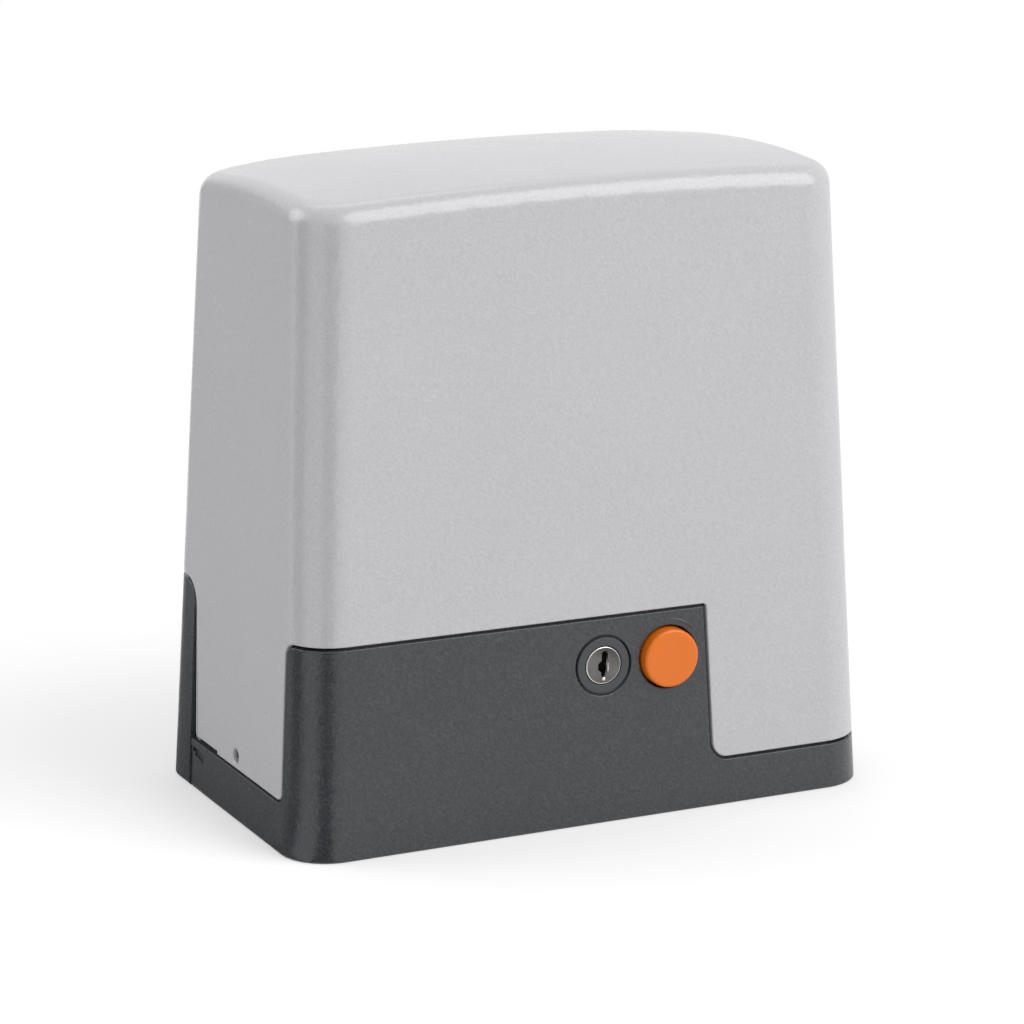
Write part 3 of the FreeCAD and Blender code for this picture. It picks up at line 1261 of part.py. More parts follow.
def make_electronics():
    """Control board on its tray with terminals, relays, fuse and filter capacitors."""
    node("board_tray", feature("board_tray", make_board_tray()))
    plate = box("control_board_plate", (S.board_width, S.board_thickness, S.board_height),
                (S.board_x - S.board_width / 2, S.board_y, S.board_z))
    holes = [cylinder(f"board_hole_{index}", S.board_screw_radius, S.board_thickness + 2,
                      (x, S.board_y - 1, z), Y_AXIS)
             for index, (x, z) in enumerate(board_screw_places())]
    node("control_board", cut("control_board", plate, *holes))
    screws = [cap_screw(f"board_screw_{index}", S.board_screw_radius, S.board_thickness + S.tray_standoff + 2,
                        (x, S.board_y, z), Y_AXIS) for index, (x, z) in enumerate(board_screw_places())]
    node("board_screws", group("board_screws", screws))
    left = S.board_x - S.board_width / 2
    gap = S.board_part_gap
    width = (S.board_width - 2 * S.terminal_inset - 2 * gap) / 3
    terminals = [box(f"terminal_{index}", (width, S.terminal_depth, S.terminal_height),
                     (left + S.terminal_inset + index * (width + gap),
                      S.board_y - S.terminal_depth, S.board_z + gap))
                 for index in range(3)]
    node("terminal_blocks", group("terminal_blocks", terminals))
    board_top = S.board_z + S.board_height
    relays = [box(f"relay_{index}", (S.relay_width, S.relay_height, S.relay_depth),
                  (left + S.relay_inset + index * (S.relay_width + gap), S.board_y - S.relay_height,
                   board_top - S.relay_drop))
              for index in range(2)]
    node("relays", group("relays", relays))
    filters = [cylinder(f"filter_{index}", S.filter_radius, S.filter_height,
                        (left + S.board_width - S.filter_inset + index * (2 * S.filter_radius + gap), S.board_y,
                         board_top - S.filter_drop), -Y_AXIS)
               for index in range(2)]
    node("filter_capacitors", group("filter_capacitors", filters))
    middle = S.board_z + S.board_height / 2
    holder = box("fuse_base", (S.fuse_length, S.fuse_radius * 2, S.fuse_radius * 2),
                 (left + S.fuse_inset, S.board_y - S.fuse_radius * 2, middle - S.fuse_radius * 2))
    node("mains_fuse", holder)
    node("processor_chip", box("processor_chip", (S.chip_width, S.chip_thickness, S.chip_width),
                               (left + S.board_width - S.chip_inset, S.board_y - S.chip_thickness,
                                middle - S.chip_width)))
    tray_top = S.floor_thickness + S.tray_thickness
    tray_screws = [cap_screw(f"tray_screw_{index}", S.small_screw_radius, tray_top - 1,
                             (x, y, tray_top), -Z_AXIS)
                   for index, (x, y) in enumerate(TRAY_SCREWS)]
    node("tray_screws", group("tray_screws", tray_screws))


def make_power_parts():
    """Transformer on its bracket, and the motor's run capacitor in its clamp."""
    x, y = TRANSFORMER_X, S.transformer_y
    plate_top = S.floor_thickness + S.bracket_thickness
    half = S.core_width / 2
    plate = box("bracket_plate", (S.core_width + 2 * S.bracket_foot, S.core_depth, S.bracket_thickness),
                (x - half - S.bracket_foot, y - S.core_depth / 2, S.floor_thickness))
    holes = [cylinder(f"bracket_hole_{index}", S.small_screw_radius, 4, (px, py, S.floor_thickness - 1))
             for index, (px, py) in enumerate(TRANSFORMER_SCREWS)]
    node("transformer_bracket", cut("transformer_bracket", plate, *holes))
    screws = [cap_screw(f"transformer_screw_{index}", S.small_screw_radius, plate_top - 1,
                        (px, py, plate_top), -Z_AXIS)
              for index, (px, py) in enumerate(TRANSFORMER_SCREWS)]
    node("transformer_screws", group("transformer_screws", screws))
    core = box("core_stack", (S.core_width, S.core_depth, S.core_height),
               (x - half, y - S.core_depth / 2, plate_top))
    window = (S.core_width - 2 * S.core_leg - S.core_centre_leg) / 2
    window_low = plate_top + S.core_leg
    window_height = S.core_height - 2 * S.core_leg
    windows = [box(f"core_window_{index}", (window, S.core_depth + 2, window_height),
                   (start, y - S.core_depth / 2 - 1, window_low))
               for index, start in enumerate((x - half + S.core_leg, x + S.core_centre_leg / 2))]
    node("transformer_core", cut("transformer_core", core, *windows))
    coil_half = S.core_centre_leg / 2 + window
    coil = box("coil_block", (2 * coil_half, S.core_depth + 2 * S.coil_overhang, window_height),
               (x - coil_half, y - S.core_depth / 2 - S.coil_overhang, window_low))
    leg = box("coil_leg", (S.core_centre_leg, S.core_depth, window_height + 2),
              (x - S.core_centre_leg / 2, y - S.core_depth / 2, window_low - 1))
    node("transformer_coil", cut("transformer_coil", coil, leg))

    cx, cy = CAPACITOR_X, S.capacitor_y
    can = cylinder("capacitor_can", S.capacitor_radius, S.capacitor_height, (cx, cy, S.floor_thickness))
    tag_foot = S.floor_thickness + S.capacitor_height - 1
    tags = [box(f"capacitor_tag_{side}", (1, 6, 9), (cx + side * 5, cy - 3, tag_foot))
            for side in (-1, 1)]
    node("run_capacitor", fuse("run_capacitor", can, *tags))
    strap = cylinder("strap_outer", S.capacitor_radius + S.strap_thickness, S.strap_width,
                     (cx, cy, S.floor_thickness))
    (screw_x, screw_y), = CAPACITOR_SCREWS
    tab = box("strap_tab", (S.strap_width, 16, S.strap_thickness),
              (cx - S.strap_width / 2, screw_y - 6, S.floor_thickness))
    inside = cylinder("strap_inner", S.capacitor_radius, S.strap_width + 2, (cx, cy, S.floor_thickness - 1))
    hole = cylinder("strap_hole", S.small_screw_radius, 4, (screw_x, screw_y, S.floor_thickness - 1))
    node("capacitor_clamp", cut("capacitor_clamp", fuse("clamp_blank", strap, tab), inside, hole))
    tab_top = S.floor_thickness + S.strap_thickness
    node("capacitor_screw", cap_screw("capacitor_screw", S.small_screw_radius, tab_top - 1,
                                      (screw_x, screw_y, tab_top), -Z_AXIS))


# ---------------------------------------------------------------- housing pieces and fasteners

def make_housing():
    """Cover, base, rear panel, their screws and the cable grommet."""
    node("cover_shell", feature("cover_shell", make_cover_shell()))
    node("base_housing", feature("base_housing", make_base_housing()))
    node("rear_panel", feature("rear_panel", make_rear_panel()))
    ledge_top = S.floor_thickness + S.base_wall
    screws = [cap_screw(f"panel_screw_{index}", S.small_screw_radius, ledge_top - 1,
                        (px, py, ledge_top), -Z_AXIS)
              for index, (px, py) in enumerate(PANEL_SCREWS)]
    node("panel_screws", group("panel_screws", screws))

    lug_inner = SIDE_AT_SCREW - S.cover_boss_depth - S.lug_gap - S.lug_thickness
    nut_face = lug_inner - S.panel_gap
    screws, nuts = [], []
    for side, label in ((-1, "left"), (1, "right")):
        head_at = (side * (SCREW_SEAT + SCREW_HEAD), S.cover_screw_y, S.cover_screw_z)
        length = SCREW_SEAT - nut_face + S.cover_nut_thickness
        screws.append(turned(f"cover_screw_{label}", [
            (0, 0), (S.cover_screw_head, 0), (S.cover_screw_head, SCREW_HEAD), (S.cover_screw_radius, SCREW_HEAD),
            (S.cover_screw_radius, SCREW_HEAD + length), (0, SCREW_HEAD + length)], head_at, X_AXIS * -side))
        nut = hexagon(f"cover_nut_blank_{label}", S.cover_screw_radius * 3.5, S.cover_nut_thickness,
                      (side * nut_face, S.cover_screw_y, S.cover_screw_z), X_AXIS * -side)
        hole = cylinder(f"cover_nut_hole_{label}", S.cover_screw_radius, S.cover_nut_thickness + 2,
                        (side * (nut_face + 1), S.cover_screw_y, S.cover_screw_z), X_AXIS * -side)
        nuts.append(cut(f"cover_nut_{label}", nut, hole))
    node("cover_screws", group("cover_screws", screws))
    node("cover_nuts", group("cover_nuts", nuts))

    bore, outer = S.grommet_bore, S.cable_hole_radius
    flange, rise = S.grommet_flange, S.grommet_rise
    low = S.panel_gap
    floor_face = S.floor_thickness - low
    node("cable_grommet", turned("cable_grommet", [
        (bore, 0), (outer, 0), (outer, floor_face), (outer + flange, floor_face),
        (outer + flange, floor_face + flange),
        (bore + flange, floor_face + flange), (bore + flange, floor_face + flange + rise),
        (bore, floor_face + flange + rise)], (CABLE_X, S.cable_y, low)))


def check_and_export():
    """Stop at any failed object, then write one STEP file for each node."""
    doc.recompute()
    for item in doc.Objects:
        if "Invalid" in item.State or "Error" in item.State:
            raise RuntimeError(f"{item.Label}: {item.State}")
    os.makedirs("parts", exist_ok=True)
    for name, item in NODES.items():
        shape = item.Shape
        if shape.isNull() or not shape.isValid():
            raise RuntimeError(f"{name}: its shape is null or not valid")
        shape.exportStep(f"parts/{name}.step")
        print(f"{name}: {len(shape.Solids)} solid(s), {shape.Volume / 1000:.2f} cm3")


make_housing()
make_lock()
make_release()
make_gearbox_and_motor()
make_bearings()
make_rotor()
make_output()
make_electronics()
make_power_parts()
check_and_export()
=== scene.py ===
"""Dresses the sliding gate motor: moulded skins, key lock, release button, drive, electronics, studio and camera."""

import logging
import math
from dataclasses import dataclass
from enum import Enum
from typing import Callable, Sequence

import bmesh
import bpy
from mathutils import Matrix, Vector


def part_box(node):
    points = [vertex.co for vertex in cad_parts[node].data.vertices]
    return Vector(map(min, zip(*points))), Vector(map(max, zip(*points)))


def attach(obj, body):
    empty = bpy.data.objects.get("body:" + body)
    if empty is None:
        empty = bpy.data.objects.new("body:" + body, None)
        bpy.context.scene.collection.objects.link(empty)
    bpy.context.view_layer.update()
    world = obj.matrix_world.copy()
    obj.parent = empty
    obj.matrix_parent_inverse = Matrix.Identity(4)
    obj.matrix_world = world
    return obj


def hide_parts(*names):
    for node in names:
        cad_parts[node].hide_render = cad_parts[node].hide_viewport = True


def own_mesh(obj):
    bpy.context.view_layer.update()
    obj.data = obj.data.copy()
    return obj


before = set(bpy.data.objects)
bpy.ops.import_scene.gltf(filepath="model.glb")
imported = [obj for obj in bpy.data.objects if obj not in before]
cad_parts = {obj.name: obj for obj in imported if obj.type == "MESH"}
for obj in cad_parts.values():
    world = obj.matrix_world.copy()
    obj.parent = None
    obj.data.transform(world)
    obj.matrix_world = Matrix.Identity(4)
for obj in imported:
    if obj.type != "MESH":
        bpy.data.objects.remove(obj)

log = logging.getLogger("gate_motor")
Colour = tuple[float, float, float]
Point = tuple[float, float, float]
Span = tuple[float, float]  # the two ends of a range, or two coordinates

MM = 0.001
WHITE = (1, 1, 1, 1)

# Faces of a modelled shell that meet at less than the first are one flat face, at less than the second they run
# smoothly on, and at more than the third their edge gets a rounded lip.
FLAT_ANGLE = math.radians(0.06)
RUN_ON_ANGLE = math.radians(30)
LIP_ANGLE = math.radians(38)
LIPS_FROM = 1.5 * MM  # the feet keep their plain edges below this height
SPLIT_ANGLE = math.radians(32)  # edges of a modelled piece that stay sharp

# Points nearer to each other than this are one: on a profile, a new piece, a modelled piece and a modelled shell.
PROFILE_MERGE = 0.0005 * MM
PIECE_MERGE = 0.001 * MM
NODE_MERGE = 0.002 * MM
SHELL_MERGE = 0.003 * MM

# The mould grain is stretched along lines that lean this far, in degrees. A wave texture of scale WAVE / size has
# its crests about six sizes apart. Roughness drifts in patches of this share of the colour's.
GRAIN_LEAN = (0, -40, 0)
WAVE = 0.05
ROUGHNESS_PATCH = 0.4

# Faces round a turned piece.
SCREW_FACES = 48
ROUND_FACES = 96


# ---------------------------------------------------------------- finishes

def linear(colour: Colour) -> tuple[float, float, float, float]:
    """A colour of 0 to 255 as the shader's own values.

    Args:
        colour: Red, green and blue as they look on a screen.

    Returns:
        Red, green, blue and alpha of 1 in linear light.
    """
    parts = [part / 255 for part in colour]
    return (*[part / 12.92 if part <= 0.04045 else ((part + 0.055) / 1.055) ** 2.4 for part in parts], 1.0)


def radians(turn: Point) -> Point:
    """Three angles in degrees as radians."""
    return tuple(math.radians(angle) for angle in turn)


class Graph:
    """A material's node tree, with short calls that add nodes and join them."""

    def __init__(self, name: str) -> None:
        """Start a material with its shader and its object coordinates.

        Args:
            name: The material's name.
        """
        self.material = bpy.data.materials.new(name)
        self.material.use_nodes = True
        self.tree = self.material.node_tree
        self.shader = self.tree.nodes["Principled BSDF"]
        self.place = self.add("ShaderNodeTexCoord").outputs["Object"]

    def add(self, kind: str, inputs: dict | None = None, **settings: object) -> bpy.types.Node:
        """Add a node.

        Args:
            kind: The node's type name.
            inputs: Values or sockets for its inputs, by name or number.
            settings: Values for its own properties.

        Returns:
            The node.
        """
        node = self.tree.nodes.new(kind)
        for key, value in settings.items():
            setattr(node, key, value)
        for key, value in (inputs or {}).items():
            if isinstance(value, bpy.types.NodeSocket):
                self.tree.links.new(value, node.inputs[key])
            else:
                node.inputs[key].default_value = value
        return node

    def scaled(self, scale: Point, turn: Point = (0, 0, 0)) -> bpy.types.NodeSocket:
        """Object coordinates, turned and stretched.

        Args:
            scale: Factors along X, Y and Z.
            turn: Angles about X, Y and Z in degrees.

        Returns:
            The vector socket.
        """
        size = tuple(1 / factor for factor in scale)
        return self.add("ShaderNodeMapping", {0: self.place, 2: radians(turn), 3: size},
                        vector_type="TEXTURE").outputs[0]

    def noise(self, size: float, detail: float = 2.0,
              vector: bpy.types.NodeSocket | None = None) -> bpy.types.NodeSocket:
        """Noise whose lumps are about a size across.

        Args:
            size: Size of a lump in metres.
            detail: How many finer layers it has.
            vector: Coordinates, object coordinates if left out.

        Returns:
            The noise value, 0 to 1.
        """
        return self.add("ShaderNodeTexNoise", {"Vector": vector or self.place, "Scale": 1 / size,
                                               "Detail": detail}).outputs[0]

    def level(self, value: bpy.types.NodeSocket, low: float, high: float, start: float = 0.3,
              end: float = 0.7) -> bpy.types.NodeSocket:
        """A value brought from one range to another.

        Args:
            value: The value to bring over.
            low: What the start becomes.
            high: What the end becomes.
            start: Where the source range starts.
            end: Where the source range ends.

        Returns:
            The new value.
        """
        return self.add("ShaderNodeMapRange", {0: value, 1: start, 2: end, 3: low, 4: high}).outputs[0]

    def maths(self, operation: str, *values: object) -> bpy.types.NodeSocket:
        """A sum on values.

        Args:
            operation: The node's operation.
            values: Sockets or numbers.

        Returns:
            The result.
        """
        return self.add("ShaderNodeMath", dict(enumerate(values)), operation=operation).outputs[0]

    def blend(self, factor: object, first: object, second: object) -> bpy.types.NodeSocket:
        """A mix of two colours.

        Args:
            factor: 0 for the first, 1 for the second.
            first: A colour or socket.
            second: A colour or socket.

        Returns:
            The mixed colour.
        """
        mix = self.add("ShaderNodeMix", {0: factor, 6: first, 7: second}, data_type="RGBA")
        return mix.outputs[2]

    def raise_surface(self, height: bpy.types.NodeSocket, depth: float) -> None:
        """Let a height show as relief.

        Args:
            height: A value of 0 to 1.
            depth: Its height in metres.
        """
        before = self.shader.inputs["Normal"].links
        below = {"Normal": before[0].from_socket} if before else {}
        bump = self.add("ShaderNodeBump", {"Height": height, "Distance": depth, "Strength": 1.0, **below})
        self.tree.links.new(bump.outputs[0], self.shader.inputs["Normal"])

    def set(self, name: str, value: object) -> None:
        """Set or join one of the shader's inputs.

        Args:
            name: The input's name.
            value: A number, colour or socket.
        """
        if isinstance(value, bpy.types.NodeSocket):
            self.tree.links.new(value, self.shader.inputs[name])
        else:
            self.shader.inputs[name].default_value = value


class Grain(Enum):
    """The relief that a surface has from how it was made."""

    SPARK = "fine spark-eroded mould grain"
    HIDE = "leather-like mould grain"
    SATIN = "satin mould"
    CAST = "sand-blasted casting"
    DRAWN = "drawn or brushed metal"
    TURNED = "turned metal"
    STACKED = "stacked sheets"
    WOUND = "wound wire"
    PLAIN = "smooth"


@dataclass(frozen=True)
class Finish:
    """A surface finish: a colour that drifts a little, with painted shade in the low parts of its grain and painted
    light on the high parts, a roughness that varies, and a grain.
    """

    name: str
    colour: Colour
    roughness: float
    grain: Grain = Grain.SATIN
    grain_size: float = 0.4 * MM
    grain_depth: float = 0.01 * MM
    metallic: float = 0.0
    drift: float = 0.03
    drift_size: float = 25 * MM
    # Share by which the colour is painted darker in the low parts of the grain and lighter on its high parts: painted
    # shade and painted light on the relief.
    relief_shading: float = 0.02
    roughness_spread: float = 0.06
    specular: float = 0.5
    coat: float = 0.0
    turn: Point = (0, 0, 0)
    centre: Point = (0, 0, 0)

    def material(self) -> bpy.types.Material:
        """The finish as a node material, made once.

        Returns:
            The material.
        """
        made = bpy.data.materials.get(self.name)
        if made:
            return made
        graph = Graph(self.name)
        height = self.relief(graph)
        wide = graph.noise(self.drift_size, 3.0)
        base = linear(self.colour)
        darker = tuple(part * (1 - self.drift) for part in base[:3]) + (1.0,)
        lighter = tuple(min(1.0, part * (1 + self.drift)) for part in base[:3]) + (1.0,)
        drifted = graph.blend(graph.level(wide, 0, 1), darker, lighter)
        # Painted shade and light: the colour follows the grain's height, darker in its pits and grooves and lighter
        # on its peaks.
        shade = graph.level(height, 1 - self.relief_shading, 1 + self.relief_shading)
        relief_shaded_colour = graph.add("ShaderNodeVectorMath", {0: drifted, 1: graph.add(
            "ShaderNodeCombineXYZ", {0: shade, 1: shade, 2: shade}).outputs[0]}, operation="MULTIPLY")
        graph.set("Base Color", relief_shaded_colour.outputs[0])
        cloud = graph.noise(self.drift_size * ROUGHNESS_PATCH, 4.0)
        graph.set("Roughness", graph.level(cloud, self.roughness - self.roughness_spread,
                                           self.roughness + self.roughness_spread))
        graph.set("Metallic", self.metallic)
        graph.set("Specular IOR Level", self.specular)
        if self.coat:
            graph.set("Coat Weight", self.coat)
        graph.raise_surface(height, self.grain_depth)
        return graph.material

    def relief(self, graph: Graph) -> bpy.types.NodeSocket:
        """The height of the grain.

        Args:
            graph: The node tree that it goes into.

        Returns:
            The height, 0 to 1.
        """
        size = self.grain_size
        if self.grain is Grain.SPARK:
            return graph.noise(size, 3.0, graph.scaled((1, 1, 0.4), GRAIN_LEAN))
        if self.grain is Grain.HIDE:
            cells = graph.add("ShaderNodeTexVoronoi", {"Vector": graph.scaled((1, 1, 0.5), GRAIN_LEAN),
                                                       "Scale": 1 / size, "Randomness": 1.0}, feature="SMOOTH_F1")
            half = graph.maths("MULTIPLY", cells.outputs[0], 0.5)
            return graph.maths("MULTIPLY_ADD", graph.noise(size * 0.6, 2.0), 0.5, half)
        if self.grain is Grain.DRAWN:
            return graph.noise(size, 3.0, graph.scaled((1, 1, 0.04), self.turn))
        if self.grain is Grain.TURNED:
            offset = graph.add("ShaderNodeVectorMath", {0: graph.place, 1: self.centre}, operation="SUBTRACT")
            lathe = graph.add("ShaderNodeMapping", {0: offset.outputs[0], 2: radians(self.turn)}).outputs[0]
            rings = graph.add("ShaderNodeTexWave", {"Vector": lathe, "Scale": WAVE / size, "Distortion": 0.6,
                                                    "Detail": 2.0, "Detail Scale": 3.0},
                              wave_type="RINGS", rings_direction="Z")
            return rings.outputs[1]
        if self.grain in (Grain.STACKED, Grain.WOUND):
            waves = graph.add("ShaderNodeTexWave", {"Vector": graph.scaled((1, 1, 1), self.turn),
                                                    "Scale": WAVE / size, "Detail": 1.0,
                                                    "Distortion": 0.3 if self.grain is Grain.STACKED else 1.5},
                              wave_type="BANDS", bands_direction="Z")
            return waves.outputs[1]
        return graph.noise(size, 4.0 if self.grain is Grain.CAST else 2.0)


# The grain of the cover and the base shows partly as painted shade and light in their colour, darker in the pits and
# lighter on the peaks; on the laminations and windings it is painted shade in the grooves.
COVER = Finish("cover_light_grey", (199, 199, 202), 0.26, Grain.SPARK, 0.7 * MM, 0.042 * MM, relief_shading=0.08,
               drift=0.012, drift_size=60 * MM, roughness_spread=0.02, specular=0.9)
BASE = Finish("base_anthracite", (62, 64, 68), 0.28, Grain.HIDE, 0.85 * MM, 0.14 * MM, relief_shading=0.42, drift=0.03,
              specular=0.6)
ESCUTCHEON = Finish("escutcheon_anthracite", (72, 74, 78), 0.36, Grain.SPARK, 0.5 * MM, 0.02 * MM, specular=0.4)
ORANGE = Finish("release_orange", (242, 122, 22), 0.27, Grain.SATIN, 0.5 * MM, 0.006 * MM, drift=0.015)
LOCK_FACE = Finish("lock_nickel", (96, 95, 93), 0.3, Grain.DRAWN, 0.25 * MM, 0.006 * MM, metallic=1.0, drift=0.5,
                   drift_size=22 * MM)
LOCK_RIM = Finish("lock_chrome", (222, 221, 219), 0.16, Grain.PLAIN, metallic=1.0)
BLACK = Finish("black_plastic", (34, 34, 36), 0.42, Grain.SATIN)
TRAY = Finish("tray_grey", (92, 95, 98), 0.5, Grain.SPARK)
GREEN = Finish("terminal_green", (58, 132, 76), 0.4, Grain.SATIN)
SLEEVE = Finish("sleeve_blue", (44, 58, 98), 0.28, Grain.SATIN, coat=0.3)
CAPACITOR = Finish("capacitor_white", (214, 214, 208), 0.35, Grain.SATIN)
RUBBER = Finish("rubber_black", (30, 30, 31), 0.7, Grain.SPARK, 0.5 * MM, 0.03 * MM)
GROUND = Finish("ground_steel", (176, 177, 180), 0.24, Grain.DRAWN, 0.2 * MM, 0.004 * MM, metallic=1.0)
TOOTH = Finish("pinion_steel", (150, 151, 155), 0.34, Grain.DRAWN, 0.3 * MM, 0.01 * MM, metallic=1.0, turn=(90, 0, 0))
SPRING = Finish("spring_steel", (128, 128, 132), 0.28, Grain.DRAWN, 0.2 * MM, metallic=1.0)
ZINC = Finish("zinc_plate", (186, 188, 192), 0.34, Grain.DRAWN, 0.3 * MM, 0.006 * MM, metallic=1.0, drift=0.08)
SCREW = Finish("screw_zinc", (170, 171, 175), 0.32, Grain.SATIN, metallic=1.0, drift=0.06, drift_size=3 * MM)
SHEET = Finish("lamination", (104, 106, 110), 0.5, Grain.STACKED, 0.5 * MM, 0.06 * MM, metallic=0.8, relief_shading=0.25)
CAST = Finish("cast_aluminium", (176, 178, 181), 0.5, Grain.CAST, 0.7 * MM, 0.05 * MM, metallic=0.9, drift=0.06)
PAINT = Finish("motor_black", (38, 39, 42), 0.36, Grain.CAST, 1.2 * MM, 0.03 * MM, coat=0.2)
BRONZE = Finish("wheel_bronze", (186, 142, 78), 0.32, Grain.TURNED, 0.3 * MM, 0.006 * MM, metallic=1.0,
                turn=(90, 0, 0), centre=(0.04, 0, 0.0762))
COPPER = Finish("enamelled_copper", (176, 92, 48), 0.34, Grain.WOUND, 0.7 * MM, 0.25 * MM, metallic=0.85, relief_shading=0.3)
TAPE = Finish("coil_tape", (214, 178, 62), 0.45, Grain.SATIN, drift=0.05)
LAMINATE = Finish("board_green", (28, 96, 62), 0.3, Grain.SATIN, coat=0.4, drift=0.1, drift_size=4 * MM)


# ---------------------------------------------------------------- shared making

def link(name: str, data: bpy.types.ID) -> bpy.types.Object:
    """Put an object into the scene.

    Args:
        name: Its name.
        data: Its mesh, lamp or camera.

    Returns:
        The object.
    """
    made = bpy.data.objects.new(name, data)
    bpy.context.scene.collection.objects.link(made)
    return made


def link_mesh(name: str, mesh: bmesh.types.BMesh) -> bpy.types.Object:
    """Put a finished mesh into the scene as an object.

    Args:
        name: The object's name.
        mesh: Its shape, which is given up.

    Returns:
        The object.
    """
    data = bpy.data.meshes.new(name)
    mesh.to_mesh(data)
    mesh.free()
    return link(name, data)


@dataclass
class Assembly:
    """A group of the product's pieces that ride on one body."""

    body: str = "housing"

    def dress(self, finish: Finish, *nodes: str) -> None:
        """Give modelled pieces a finish and smooth faces.

        Args:
            finish: The finish.
            nodes: The pieces' names.
        """
        for name in nodes:
            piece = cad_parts[name]
            piece.data.materials.clear()
            piece.data.materials.append(finish.material())
            self.soften(piece)
            log.info("%s: %s", name, finish.name)

    def soften(self, piece: bpy.types.Object) -> None:
        """Shade a modelled piece smooth but for its real edges.

        Args:
            piece: The piece.
        """
        piece.data.polygons.foreach_set("use_smooth", [True] * len(piece.data.polygons))
        weld = piece.modifiers.new("weld", "WELD")
        weld.merge_threshold = NODE_MERGE
        split = piece.modifiers.new("split", "EDGE_SPLIT")
        split.split_angle = SPLIT_ANGLE
        normals = piece.modifiers.new("normals", "WEIGHTED_NORMAL")
        normals.keep_sharp = True

    def skin(self, name: str, finish: Finish, node: str, facing: Vector, edge: float,
             gap: float, shape: Callable[[Vector], Vector]) -> None:
        """Make a moulded skin out of a modelled shell, with the edges of its outer side rounded.

        Args:
            name: The skin's name.
            finish: Its finish.
            node: The shell that it stands for.
            facing: A direction that one of its outer faces looks in.
            edge: Radius of the rounded edges.
            gap: How far they draw back from what they face.
            shape: Gives a point's final place.
        """
        mesh = bmesh.new()
        mesh.from_mesh(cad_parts[node].data)
        bmesh.ops.remove_doubles(mesh, verts=mesh.verts, dist=SHELL_MERGE)
        bmesh.ops.dissolve_limit(mesh, angle_limit=FLAT_ANGLE, verts=mesh.verts, edges=mesh.edges)
        outer = outer_side(mesh, facing)
        lips = [line for line in mesh.edges if line.is_manifold and line.calc_face_angle() > LIP_ANGLE
                and sum(face in outer for face in line.link_faces) == 1
                and min(vert.co.z for vert in line.verts) > LIPS_FROM]
        walls: dict[bmesh.types.BMVert, Vector] = {}
        for line in lips:
            wall = next(face for face in line.link_faces if face not in outer)
            for vert in line.verts:
                walls[vert] = walls.get(vert, Vector()) + wall.normal
        for vert, normal in walls.items():
            vert.co -= gap * normal.normalized()
        bmesh.ops.bevel(mesh, geom=lips, offset=edge, offset_type="OFFSET", segments=3, profile=0.5,
                        affect="EDGES", material=-1, clamp_overlap=False)
        for vert in mesh.verts:
            vert.co = shape(vert.co)
        made = self.piece(name, mesh, finish, node)
        normals = made.modifiers.new("normals", "WEIGHTED_NORMAL")
        normals.keep_sharp = True

    def piece(self, name: str, mesh: bmesh.types.BMesh, finish: Finish, *replaced: str,
              smooth: float = 35) -> bpy.types.Object:
        """Make a finished piece out of a mesh.

        Args:
            name: The piece's name.
            mesh: Its shape, in place.
            finish: Its finish.
            replaced: The modelled pieces that it stands for.
            smooth: Edges sharper than this many degrees stay sharp.

        Returns:
            The piece.
        """
        bmesh.ops.remove_doubles(mesh, verts=mesh.verts, dist=PIECE_MERGE)
        bmesh.ops.recalc_face_normals(mesh, faces=mesh.faces)
        made = link_mesh(name, mesh)
        data = made.data
        data.materials.append(finish.material())
        data.polygons.foreach_set("use_smooth", [True] * len(data.polygons))
        data.set_sharp_from_angle(angle=math.radians(smooth))
        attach(made, self.body)
        if replaced:
            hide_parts(*replaced)
        log.info("%s: %d faces", name, len(data.polygons))
        return made


def outer_side(mesh: bmesh.types.BMesh, facing: Vector) -> set[bmesh.types.BMFace]:
    """The faces that run smoothly on from a shell's widest face on one side.

    Args:
        mesh: The shell.
        facing: The direction that the widest face looks in.

    Returns:
        The faces.
    """
    nearly = 0.95
    seed = max((face for face in mesh.faces if face.normal.dot(facing) > nearly), key=lambda face: face.calc_area())
    found, open_ends = {seed}, [seed]
    while open_ends:
        for line in open_ends.pop().edges:
            if line.is_manifold and line.calc_face_angle() < RUN_ON_ANGLE:
                fresh = [face for face in line.link_faces if face not in found]
                found.update(fresh)
                open_ends.extend(fresh)
    return found


def sag(point: Vector) -> Vector:
    """The mouldings' slight sag along the front of the joint line, over the raised wall and at the sill.

    Args:
        point: A point of a moulding.

    Returns:
        Its final place.
    """
    wall_drop, sill_drop = 1.5, 1.8
    front = ease(-point.y, 55 * MM, 80 * MM)
    wall = ease(point.z, 92 * MM, 101 * MM) * (1 - ease(point.z, 118 * MM, 160 * MM))
    wall *= ease(point.x, -130 * MM, 60 * MM)
    sill = ease(point.z, 6 * MM, 17 * MM) * (1 - ease(point.z, 30 * MM, 60 * MM))
    sill *= ease(point.x, 50 * MM, 75 * MM)
    return point - Vector((0, 0, front * (wall_drop * wall + sill_drop * sill) * MM))


def ease(value: float, start: float, end: float) -> float:
    """A smooth step.

    Args:
        value: The value.
        start: Where it leaves 0.
        end: Where it reaches 1.

    Returns:
        0 to 1.
    """
    share = min(1.0, max(0.0, (value - start) / (end - start)))
    return share * share * (3 - 2 * share)


def along(table: Sequence[tuple[float, ...]], at: float) -> tuple[float, ...]:
    """Values read between the rows of a table with smooth steps.

    Args:
        table: Rows of a place and the values there, places rising.
        at: The place.

    Returns:
        The values.
    """
    for low, high in zip(table, table[1:]):
        if at <= high[0]:
            share = ease(at, low[0], high[0])
            return tuple(a + (b - a) * share for a, b in zip(low[1:], high[1:]))
    return table[-1][1:]


